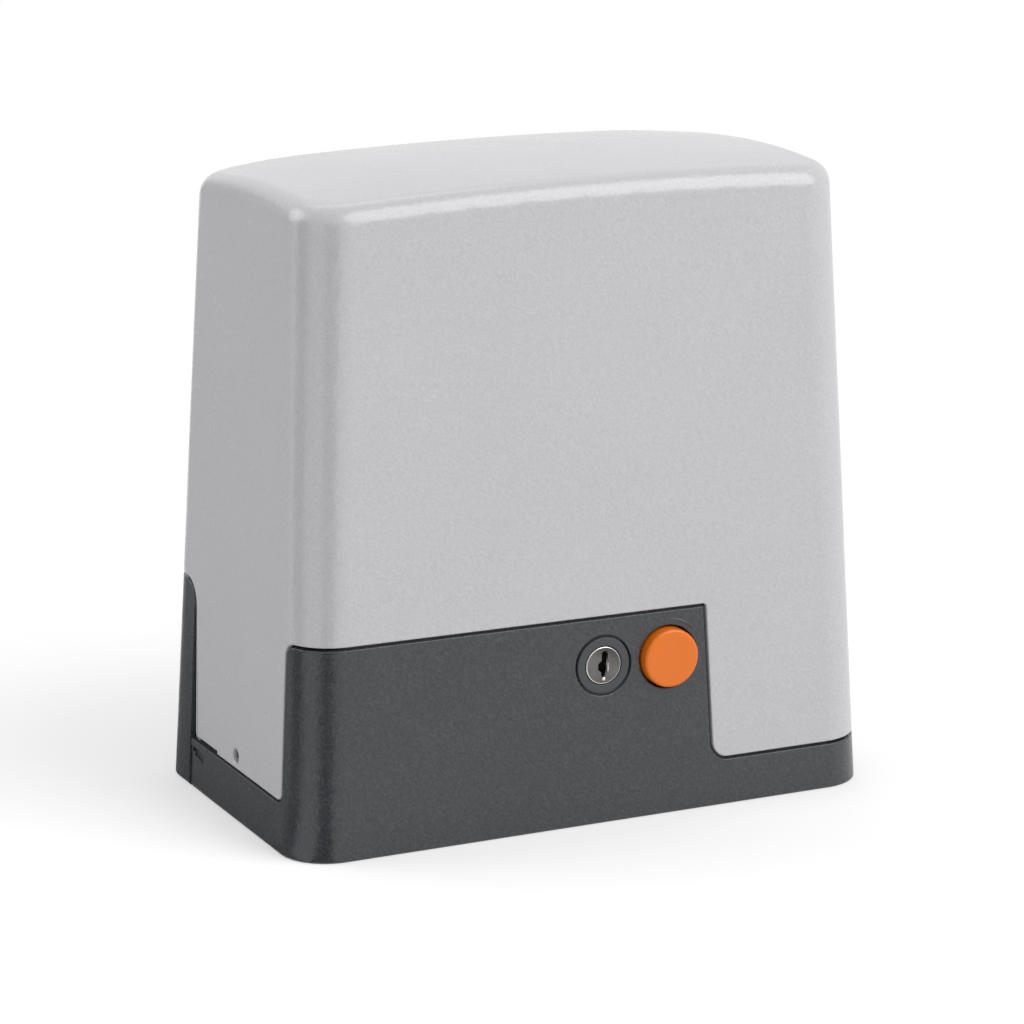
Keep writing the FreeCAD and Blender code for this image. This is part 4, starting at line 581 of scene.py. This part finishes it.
def turned(profile: Sequence[Span], steps: int = ROUND_FACES) -> bmesh.types.BMesh:
    """A mesh turned about the Y axis.

    Args:
        profile: Radius and distance along Y of each corner, in metres.
        steps: Number of faces round the axis.

    Returns:
        The mesh, with open ends where the profile does not reach the axis.
    """
    mesh = bmesh.new()
    verts = [mesh.verts.new((radius, depth, 0)) for radius, depth in profile]
    for first, second in zip(verts, verts[1:]):
        mesh.edges.new((first, second))
    bmesh.ops.spin(mesh, geom=mesh.verts[:] + mesh.edges[:], cent=(0, 0, 0), axis=(0, 1, 0), dvec=(0, 0, 0),
                   angle=math.tau, steps=steps, use_merge=True, use_duplicate=False)
    bmesh.ops.remove_doubles(mesh, verts=mesh.verts, dist=PROFILE_MERGE)
    return mesh


def rounding(radius: float, depth: float, size: float, start: float = 0, end: float = 90,
             steps: int = 5) -> list[Span]:
    """Profile points on a rounded corner.

    Args:
        radius: Radius of the corner's middle from the axis.
        depth: Distance of the corner's middle along Y.
        size: Radius of the corner itself.
        start: Where it starts in degrees, 0 facing the front.
        end: Where it ends, 90 facing outwards.
        steps: Number of faces.

    Returns:
        Radius and depth of each point.
    """
    angles = [math.radians(start + (end - start) * step / steps) for step in range(steps + 1)]
    return [(radius + size * math.sin(angle), depth - size * math.cos(angle)) for angle in angles]


def open_rim(mesh: bmesh.types.BMesh, depth: float) -> list[bmesh.types.BMEdge]:
    """The open edges of a mesh that lie at a depth.

    Args:
        mesh: The mesh.
        depth: Their distance along Y.

    Returns:
        The edges.
    """
    return [edge for edge in mesh.edges if edge.is_boundary
            and all(abs(vert.co.y - depth) < PIECE_MERGE for vert in edge.verts)]


def sink(mesh: bmesh.types.BMesh, rim: list[bmesh.types.BMEdge], depth: float,
         shape: Callable[[float], Span]) -> list[bmesh.types.BMEdge]:
    """Carry an open rim on to a new outline.

    Args:
        mesh: The mesh.
        rim: Its open rim.
        depth: Distance of the new outline along Y.
        shape: Gives X and Z of the outline at an angle, 0 to the right and a quarter turn up.

    Returns:
        The new rim.
    """
    grown = bmesh.ops.extrude_edge_only(mesh, edges=rim)["geom"]
    for vert in (item for item in grown if isinstance(item, bmesh.types.BMVert)):
        across, up = shape(math.atan2(vert.co.z, vert.co.x))
        vert.co = (across, depth, up)
    return [item for item in grown if isinstance(item, bmesh.types.BMEdge) and item.is_boundary]


def place(mesh: bmesh.types.BMesh, at: Vector, turn: Matrix | None = None) -> bmesh.types.BMesh:
    """Turn a mesh and move it to its place.

    Args:
        mesh: The mesh.
        at: The place of its origin.
        turn: Its turn, none if left out.

    Returns:
        The same mesh.
    """
    if turn:
        bmesh.ops.transform(mesh, verts=mesh.verts, matrix=turn)
    bmesh.ops.translate(mesh, verts=mesh.verts, vec=at)
    return mesh


def axis_front(node: str) -> Vector:
    """The front end of a round piece's axis along Y.

    Args:
        node: The modelled piece.

    Returns:
        The middle of its front face.
    """
    low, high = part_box(node)
    return Vector(((low.x + high.x) / 2, low.y, (low.z + high.z) / 2))


def hexagon(angle: float, flat: float) -> Span:
    """A point of a hexagon.

    Args:
        angle: Its angle.
        flat: Distance of each side from the middle.

    Returns:
        X and Z.
    """
    turn = (angle + math.pi / 6) % (math.pi / 3) - math.pi / 6
    reach = flat / math.cos(turn)
    return reach * math.cos(angle), reach * math.sin(angle)


# ---------------------------------------------------------------- sub-assemblies

@dataclass
class Cover(Assembly):
    """The light-grey cover with its captive screws."""

    body: str = "cover"
    head_radius: float = 2.9 * MM
    head_height: float = 2.0 * MM
    shank_radius: float = 2.0 * MM
    head_rim: float = 0.5 * MM
    socket_flat: float = 1.35 * MM
    socket_mouth: float = 1.3
    socket_chamfer: float = 0.1 * MM
    socket_depth: float = 1.4 * MM
    socket_point: float = 1.8 * MM
    shank_past_nut: float = 5 * MM
    lip: float = 0.7 * MM
    gap: float = 0.1 * MM
    left_drop: float = 3.4 * MM
    left_across: Span = (85 * MM, 150 * MM)
    left_back: Span = (-60 * MM, 80 * MM)
    right_drop: float = 2.5 * MM
    right_across: Span = (80 * MM, 150 * MM)
    right_back: Span = (-90 * MM, 60 * MM)
    drop_height: Span = (230 * MM, 295 * MM)

    def build(self) -> None:
        """Dress the shell and make its screws."""
        self.skin("cover_skin", COVER, "cover_shell", Vector((0, 0, 1)), self.lip, self.gap, self.settle)
        self.dress(SCREW, "cover_nuts")
        low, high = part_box("cover_screws")
        middle_y, middle_z = (low.y + high.y) / 2, (low.z + high.z) / 2
        self.make_screw("cover_screw_left", Vector((low.x, middle_y, middle_z)), -90)
        self.make_screw("cover_screw_right", Vector((high.x, middle_y, middle_z)), 90)

    def settle(self, point: Vector) -> Vector:
        """Let the top fall off towards its rear corners.

        Args:
            point: A point of the shell.

        Returns:
            Its final place.
        """
        left = self.left_drop * ease(-point.x, *self.left_across) * ease(point.y, *self.left_back)
        right = self.right_drop * ease(point.x, *self.right_across) * ease(point.y, *self.right_back)
        return sag(point - Vector((0, 0, (left + right) * ease(point.z, *self.drop_height))))

    def make_screw(self, name: str, at: Vector, turn: float) -> None:
        """A countersunk socket screw.

        Args:
            name: Its name.
            at: The middle of its head.
            turn: Its turn about Z in degrees from facing the front.
        """
        shank_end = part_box("cover_nuts")[1].x
        length = abs(at.x) - abs(shank_end) + self.shank_past_nut
        profile = [(self.socket_flat * self.socket_mouth, 0)]
        profile += rounding(self.head_radius - self.head_rim, self.head_rim, self.head_rim)
        profile += [(self.head_radius, self.head_height), (self.shank_radius, self.head_height),
                    (self.shank_radius, length), (0, length)]
        mesh = turned(profile, SCREW_FACES)
        edge = open_rim(mesh, 0)
        for depth in (self.socket_chamfer, self.socket_depth):
            edge = sink(mesh, edge, depth, lambda angle: hexagon(angle, self.socket_flat))
        sink(mesh, edge, self.socket_point, lambda angle: (0.0, 0.0))
        place(mesh, at, Matrix.Rotation(math.radians(turn), 4, "Z"))
        self.piece(name, mesh, SCREW, "cover_screws")


@dataclass
class Base(Assembly):
    """The dark base with its rear panel, grommet and screws."""

    dish_radius: float = 17.9 * MM
    dish_lip: float = 0.9 * MM
    dish_rise: float = 0.3 * MM
    dish_start: float = -4
    dish_sweep: float = 112
    dish_section: Sequence[Span] = ((-1, 0.6), (-0.3, -0.9), (0.3, -0.9), (1, 0.6))
    front_draft: float = 0.044
    lip: float = 0.55 * MM
    gap: float = 0.5 * MM

    def build(self) -> None:
        """Dress the housing and what is fixed to it."""
        self.skin("base_skin", BASE, "base_housing", Vector((0, -1, 0)), self.lip, self.gap, sag)
        self.skin("rear_panel_skin", BASE, "rear_panel", Vector((0, 1, 0)), self.lip, self.gap, sag)
        self.dress(RUBBER, "cable_grommet")
        self.dress(SCREW, "panel_screws")
        self.make_dish_lip()

    def make_dish_lip(self) -> None:
        """The faint raised lip that fades out around the upper right of the release button."""
        mesh = bmesh.new()
        sides = [mesh.verts.new((self.dish_radius + across * self.dish_lip, depth * self.dish_rise, 0))
                 for across, depth in self.dish_section]
        rim = [mesh.edges.new(pair) for pair in zip(sides, sides[1:] + sides[:1])]
        bmesh.ops.rotate(mesh, verts=sides, matrix=Matrix.Rotation(math.radians(-self.dish_start), 3, "Y"))
        bmesh.ops.spin(mesh, geom=sides + rim, cent=(0, 0, 0), axis=(0, -1, 0), dvec=(0, 0, 0),
                       angle=math.radians(self.dish_sweep), steps=40)
        foot = self.dish_section[0][1] * self.dish_rise
        for vert in mesh.verts:
            angle = math.degrees(math.atan2(vert.co.z, vert.co.x)) - self.dish_start
            fade = math.sin(math.pi * min(1, max(0, angle / self.dish_sweep)))
            vert.co.y = foot + (vert.co.y - foot) * fade
        bmesh.ops.holes_fill(mesh, edges=mesh.edges, sides=4)
        front = axis_front("lock_barrel").y
        button = axis_front("release_button")
        tilt = Matrix.Rotation(-math.atan(self.front_draft), 4, "X")
        self.piece("button_dish_lip", place(mesh, Vector((button.x, front, button.z)), tilt), BASE)


@dataclass
class KeyLock(Assembly):
    """The key lock: fixed escutcheon, turning core, cam."""

    ring_radius: float = 13.45 * MM
    ring_depth: float = 2.0 * MM
    ring_inner_edge: float = 0.35 * MM
    ring_outer_edge: float = 0.45 * MM
    barrel_radius: float = 11.5 * MM
    barrel_length: float = 26.0 * MM
    face_radius: float = 9.05 * MM
    face_rim: float = 0.5 * MM
    face_depth: float = 3.0 * MM
    face_slope: Sequence[Span] = ((7.4 * MM, 0.32 * MM), (8.0 * MM, 0.24 * MM))
    face_edge: float = 0.2 * MM
    smooth: float = 28
    plug_radius: float = 7.5 * MM
    plug_play: float = 0.05 * MM
    groove: float = 0.4 * MM
    slot_height: float = 6.1 * MM
    slot_middle: float = 0.5 * MM
    slot_lip: float = 0.35 * MM
    slot_bulge: float = 1.5 * MM
    slot_mouth: float = 1.0 * MM
    slot_floor: float = 9.0 * MM
    slot_end: Span = (0.3 * MM, 0.0)
    slot_rounds_from: float = 0.8
    bulge_at: float = -1.0
    bulge_reach: float = 2.6
    slot_table: Sequence[Point] = (
        (-6.5, 0.3, 1.05), (-3.6, 0.3, 1.05), (-1.8, -0.3, 2.1), (0.6, -0.3, 2.1), (2.6, 0.75, 1.25),
        (7.0, 0.75, 1.25))
    beads: Sequence[tuple[str, Point, Point]] = (
        ("lock_key_pin", (0.95, 0.7, 0.95), (0.3, 0.55, -6.7)),
        ("lock_key_ward", (0.42, 0.7, 2.3), (2.35, 0.5, -1.3)),
    )

    def build(self) -> None:
        """Make the visible parts of the lock and dress the rest."""
        self.make_escutcheon()
        self.make_core()
        self.dress(ZINC, "lock_nut")
        turning = Assembly("lock")
        turning.dress(ZINC, "lock_cam")
        turning.dress(SCREW, "lock_cam_screw")

    def make_escutcheon(self) -> None:
        """The fixed dark ring with the barrel behind it."""
        round_in, round_out = self.ring_inner_edge, self.ring_outer_edge
        inner, bore = self.face_radius + self.groove, self.plug_radius + self.plug_play
        profile = [(inner, self.face_depth)]
        profile += rounding(inner + round_in, round_in, round_in, -90, 0)
        profile += rounding(self.ring_radius - round_out, round_out, round_out)
        profile += [(self.ring_radius, self.ring_depth), (self.barrel_radius, self.ring_depth),
                    (self.barrel_radius, self.barrel_length), (bore, self.barrel_length), (bore, self.face_depth),
                    (inner, self.face_depth)]
        self.piece("lock_escutcheon", place(turned(profile), axis_front("lock_barrel")), ESCUTCHEON,
                   "lock_barrel")

    def make_core(self) -> None:
        """The turning metal core with its rim, dished face and keyway."""
        low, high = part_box("lock_core")
        length, rim = high.y - low.y, self.face_rim
        inside = self.face_radius - rim
        turning = Assembly("lock")
        at = axis_front("lock_core")
        ring = [(inside, self.face_depth), (inside, 0.15 * MM), *rounding(inside, rim, rim, 0, 90),
                (self.face_radius, self.face_depth), (inside, self.face_depth)]
        turning.piece("lock_core_rim", place(turned(ring), at), LOCK_RIM, "lock_core", smooth=self.smooth)
        profile = [*self.face_slope, (inside, self.face_edge), (inside, self.face_depth),
                   (self.plug_radius, self.face_depth), (self.plug_radius, length), (0, length)]
        mesh = turned(profile)
        face = self.face_slope[0][1]
        edge = sink(mesh, open_rim(mesh, face), face,
                    lambda angle: self.keyway(angle, self.slot_lip, self.slot_bulge))
        for depth in (self.slot_mouth, self.slot_floor):
            edge = sink(mesh, edge, depth, lambda angle: self.keyway(angle, 0, 0))
        sink(mesh, edge, self.slot_floor, lambda angle: self.slot_end)
        turning.piece("lock_core_face", place(mesh, at), LOCK_FACE, "lock_core", smooth=self.smooth)
        for name, half, middle in self.beads:
            bead = bmesh.new()
            bmesh.ops.create_uvsphere(bead, u_segments=24, v_segments=16, radius=1.0)
            bmesh.ops.scale(bead, verts=bead.verts, vec=Vector(half) * MM)
            turning.piece(name, place(bead, at + Vector(middle) * MM), LOCK_RIM)

    def keyway(self, angle: float, lip: float, bulge: float) -> Span:
        """A point of the bent keyway.

        Args:
            angle: Its angle round the core.
            lip: How much wider than the keyway itself.
            bulge: How much the right side is cut back at its middle.

        Returns:
            X and Z from the core's middle.
        """
        level = math.degrees(math.asin(math.sin(angle))) / 90
        up = self.slot_middle + level * (self.slot_height + lip)
        middle, half = along(self.slot_table, up / MM)
        side = math.copysign(1, math.cos(angle))
        half = (half * MM + lip) * math.sqrt(1 - ease(abs(level), self.slot_rounds_from, 1.0) ** 2)
        if side > 0:
            half += bulge * math.exp(-((up / MM - self.bulge_at) / self.bulge_reach) ** 2)
        return middle * MM + side * half, up


@dataclass
class Release(Assembly):
    """The release button with its rod, clip and spring."""

    body: str = "button"
    radius: float = 14.05 * MM
    rim: float = 1.5 * MM
    crown: Sequence[Span] = ((0, 0.1 * MM), (0.4, 0.08 * MM), (0.7, 0.03 * MM))
    skirt_flare: float = 0.2 * MM
    skirt_depth: float = 8.5 * MM
    wall: float = 2.5 * MM
    stem_radius: float = 5.0 * MM
    travel: float = 4.0 * MM

    def build(self) -> None:
        """Make the button and dress what moves with it."""
        self.make_button()
        self.dress(GROUND, "release_rod")
        self.dress(SPRING, "release_clip")
        self.make_spring()

    def make_spring(self) -> None:
        """The return spring, copied from the modelled one onto a mesh of its own; the real spring shortens as the
        button goes in.
        """
        coil = bmesh.new()
        coil.from_mesh(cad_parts["release_spring"].data)
        made = self.piece("release_coil", coil, SPRING, "release_spring")
        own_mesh(made)

    def make_button(self) -> None:
        """The round orange cap with its soft rim, hollow back and stem."""
        low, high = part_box("release_button")
        length = high.y - low.y
        hollow = self.radius - self.wall
        profile = [(self.radius * share, depth) for share, depth in self.crown]
        profile += rounding(self.radius - self.rim, self.rim, self.rim, end=86, steps=8)
        profile += [(self.radius + self.skirt_flare, self.skirt_depth), (hollow, self.skirt_depth),
                    (hollow, self.wall), (self.stem_radius, self.wall), (self.stem_radius, length), (0, length)]
        self.piece("release_button_cap", place(turned(profile), axis_front("release_button")), ORANGE,
                   "release_button")


@dataclass
class Drive(Assembly):
    """Gearbox, motor and output."""

    def build(self) -> None:
        """Dress the casting, the motor and the turning parts."""
        self.dress(CAST, "gearbox_housing", "gearbox_lid", "motor_shield")
        self.dress(SCREW, "gearbox_lid_screws", "gearbox_foot_screws", "motor_tie_rods", "pinion_bolt")
        self.dress(PAINT, "motor_can")
        self.dress(SHEET, "stator_core", "rotor_core")
        self.dress(COPPER, "stator_windings")
        self.dress(GROUND, "front_bearing", "rear_bearing", "worm_bearing", "rotor_bearing", "shield_bearing",
                   "worm_shaft", "output_shaft", "wheel_key", "pinion_key")
        self.dress(RUBBER, "output_seal")
        self.dress(BLACK, "encoder_disc")
        self.dress(BRONZE, "worm_wheel")
        self.dress(SPRING, "wheel_circlip")
        self.dress(TOOTH, "output_pinion")
        self.dress(ZINC, "pinion_washer")


@dataclass
class Electronics(Assembly):
    """Control board, transformer and capacitor."""

    def build(self) -> None:
        """Dress the electrical parts."""
        self.dress(TRAY, "board_tray")
        self.dress(LAMINATE, "control_board")
        self.dress(SCREW, "board_screws", "tray_screws", "transformer_screws", "capacitor_screw")
        self.dress(GREEN, "terminal_blocks")
        self.dress(BLACK, "relays", "mains_fuse", "processor_chip")
        self.dress(SLEEVE, "filter_capacitors")
        self.dress(SHEET, "transformer_core")
        self.dress(TAPE, "transformer_coil")
        self.dress(ZINC, "transformer_bracket", "capacitor_clamp")
        self.dress(CAPACITOR, "run_capacitor")


# ---------------------------------------------------------------- studio

MATT = 0.9  # roughness of the floor and the cards


@dataclass(frozen=True)
class Lamp:
    """A soft rectangular lamp that looks at the object."""

    name: str
    azimuth: float
    elevation: float
    distance: float
    width: float
    height: float
    power: float

    def place(self, target: Vector) -> None:
        """Hang the lamp.

        Args:
            target: The point that it looks at.
        """
        back = direction(self.azimuth, self.elevation)
        data = bpy.data.lights.new(self.name, "AREA")
        data.shape, data.size, data.size_y, data.energy = "RECTANGLE", self.width, self.height, self.power
        lamp = link(self.name, data)
        lamp.location = target + back * self.distance
        lamp.rotation_euler = (-back).to_track_quat("-Z", "Y").to_euler()


def direction(azimuth: float, elevation: float) -> Vector:
    """The way from the object to a viewer or lamp.

    Args:
        azimuth: 0 in front of the object, 90 on its right, in degrees.
        elevation: Above the horizon, in degrees.

    Returns:
        A vector of length 1.
    """
    turn, rise = math.radians(azimuth), math.radians(elevation)
    return Vector((math.sin(turn) * math.cos(rise), -math.cos(turn) * math.cos(rise), math.sin(rise)))


def seen_rays(tree: bpy.types.NodeTree) -> bpy.types.NodeSocket:
    """What tells the rays that an eye sees from those that light the object.

    Args:
        tree: The node tree that it goes into.

    Returns:
        1 for a view straight on, in a reflection or through glass, else 0.
    """
    path = tree.nodes.new("ShaderNodeLightPath").outputs
    seen = path["Is Camera Ray"]
    for name in ("Is Glossy Ray", "Is Transmission Ray"):
        either = tree.nodes.new("ShaderNodeMath")
        either.operation = "MAXIMUM"
        tree.links.new(seen, either.inputs[0])
        tree.links.new(path[name], either.inputs[1])
        seen = either.outputs[0]
    return seen


@dataclass(frozen=True)
class Card:
    """A dark card that lies on the floor and stands up at its far end, seen only in reflections."""

    name: str
    azimuth: float
    spread: float
    corner: Point
    tone: float = 0.01
    length: float = 3.0
    height: float = 1.2
    tip: float = 2 * MM
    lift: float = 1 * MM

    def place(self) -> None:
        """Lay the card out from the corner that it darkens."""
        mesh = bmesh.new()
        bmesh.ops.create_grid(mesh, x_segments=1, y_segments=1, size=0.5)
        bmesh.ops.translate(mesh, verts=mesh.verts, vec=(0, -0.5, 0))
        half = math.tan(math.radians(self.spread / 2))
        for vert in mesh.verts:
            reach = -vert.co.y * self.length + self.tip
            vert.co = Vector((math.copysign(half * reach, vert.co.x), -reach, self.lift))
        far = [edge for edge in mesh.edges if all(vert.co.y < -self.length / 2 for vert in edge.verts)]
        raised = bmesh.ops.extrude_edge_only(mesh, edges=far)["geom"]
        bmesh.ops.translate(mesh, verts=[item for item in raised if isinstance(item, bmesh.types.BMVert)],
                            vec=(0, 0, self.height))
        bmesh.ops.rotate(mesh, verts=mesh.verts, matrix=Matrix.Rotation(math.radians(self.azimuth), 3, "Z"))
        bmesh.ops.translate(mesh, verts=mesh.verts, vec=self.corner)
        card = link_mesh(self.name, mesh)
        graph = Graph(self.name + "_black")
        graph.set("Base Color", (self.tone, self.tone, self.tone, 1))
        graph.set("Roughness", MATT)
        card.data.materials.append(graph.material)
        card.visible_camera = card.visible_diffuse = card.visible_shadow = card.visible_transmission = False


@dataclass
class Studio:
    """Pale floor, soft lamps and the camera."""

    camera_place: Point = (-0.84919, -1.77582, 0.64434)
    camera_azimuth: float = -25.526
    camera_elevation: float = 14.615
    lens: float = 149.04
    sensor: float = 36
    lamp_aim: Point = (0, 0, 0.15)
    floor_size: float = 14.0
    floor_tone: Colour = (232, 232, 232)
    floor_lift: float = 0.34
    white_from: float = 0.24
    white_at: float = 0.5
    sky: float = 0.45
    lamps: Sequence[Lamp] = (
        Lamp("key", 38, 40, 3.0, 2.6, 2.6, 54),
        Lamp("fill", -125, 26, 3.0, 2.0, 2.0, 26),
        Lamp("back", 172, 62, 3.0, 2.0, 1.2, 8),
    )
    cards: Sequence[Card] = (
        Card("card_camera", -27, 28, (-0.127, -0.064, 0)),
        Card("card_left", -99, 30, (-0.127, -0.064, 0)),
        Card("card_back", -152, 50, (-0.13, -0.09, 0), 0.3),
    )

    def build(self) -> None:
        """Make the floor, the sky, the lamps and the camera."""
        self.make_floor()
        self.make_sky()
        for lamp in self.lamps:
            lamp.place(Vector(self.lamp_aim))
        for card in self.cards:
            card.place()
        self.make_camera()
        bpy.context.scene.view_settings.view_transform = "Standard"

    def make_camera(self) -> None:
        """Stand the camera in front of the object, a little to its left and above it."""
        data = bpy.data.cameras.new("camera")
        data.lens, data.sensor_width = self.lens, self.sensor
        camera = link("camera", data)
        camera.location = self.camera_place
        back = direction(self.camera_azimuth, self.camera_elevation)
        camera.rotation_mode = "QUATERNION"
        camera.rotation_quaternion = (-back).to_track_quat("-Z", "Y")
        bpy.context.scene.camera = camera

    def make_floor(self) -> None:
        """Lay a pale floor that keeps the object's shadow and is white to the eye further off."""
        mesh = bmesh.new()
        bmesh.ops.create_grid(mesh, x_segments=1, y_segments=1, size=self.floor_size / 2)
        floor = link_mesh("floor", mesh)
        graph = Graph("floor_pale")
        graph.set("Base Color", linear(self.floor_tone))
        graph.set("Roughness", MATT)
        graph.set("Specular IOR Level", 0.0)
        seen = seen_rays(graph.tree)
        graph.set("Emission Color", WHITE)
        graph.set("Emission Strength", graph.maths("MULTIPLY", seen, self.floor_lift))
        white = graph.add("ShaderNodeEmission", {0: WHITE, 1: 1.0}).outputs[0]
        away = graph.add("ShaderNodeVectorMath", {0: graph.place}, operation="LENGTH").outputs["Value"]
        far = graph.maths("MULTIPLY", seen, graph.level(away, 0, 1, self.white_from, self.white_at))
        mixed = graph.add("ShaderNodeMixShader", {0: far, 1: graph.shader.outputs[0], 2: white}).outputs[0]
        graph.tree.links.new(mixed, graph.tree.nodes["Material Output"].inputs[0])
        floor.data.materials.append(graph.material)

    def make_sky(self) -> None:
        """A sky that is white to the eye and lights the object softly."""
        world = bpy.data.worlds.new("sky")
        world.use_nodes = True
        bpy.context.scene.world = world
        tree = world.node_tree
        background = tree.nodes["Background"]
        background.inputs[0].default_value = WHITE
        strength = tree.nodes.new("ShaderNodeMapRange")
        tree.links.new(seen_rays(tree), strength.inputs[0])
        strength.inputs[3].default_value = self.sky
        strength.inputs[4].default_value = 1.0
        tree.links.new(strength.outputs[0], background.inputs[1])


def main() -> None:
    """Build the sub-assemblies in order, then the studio."""
    logging.basicConfig(level=logging.INFO, format="%(name)s: %(message)s")
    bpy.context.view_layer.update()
    for assembly in (Cover(), Base(), KeyLock(), Release(), Drive(), Electronics()):
        assembly.build()
    Studio().build()


if __name__ == "__main__":
    main()
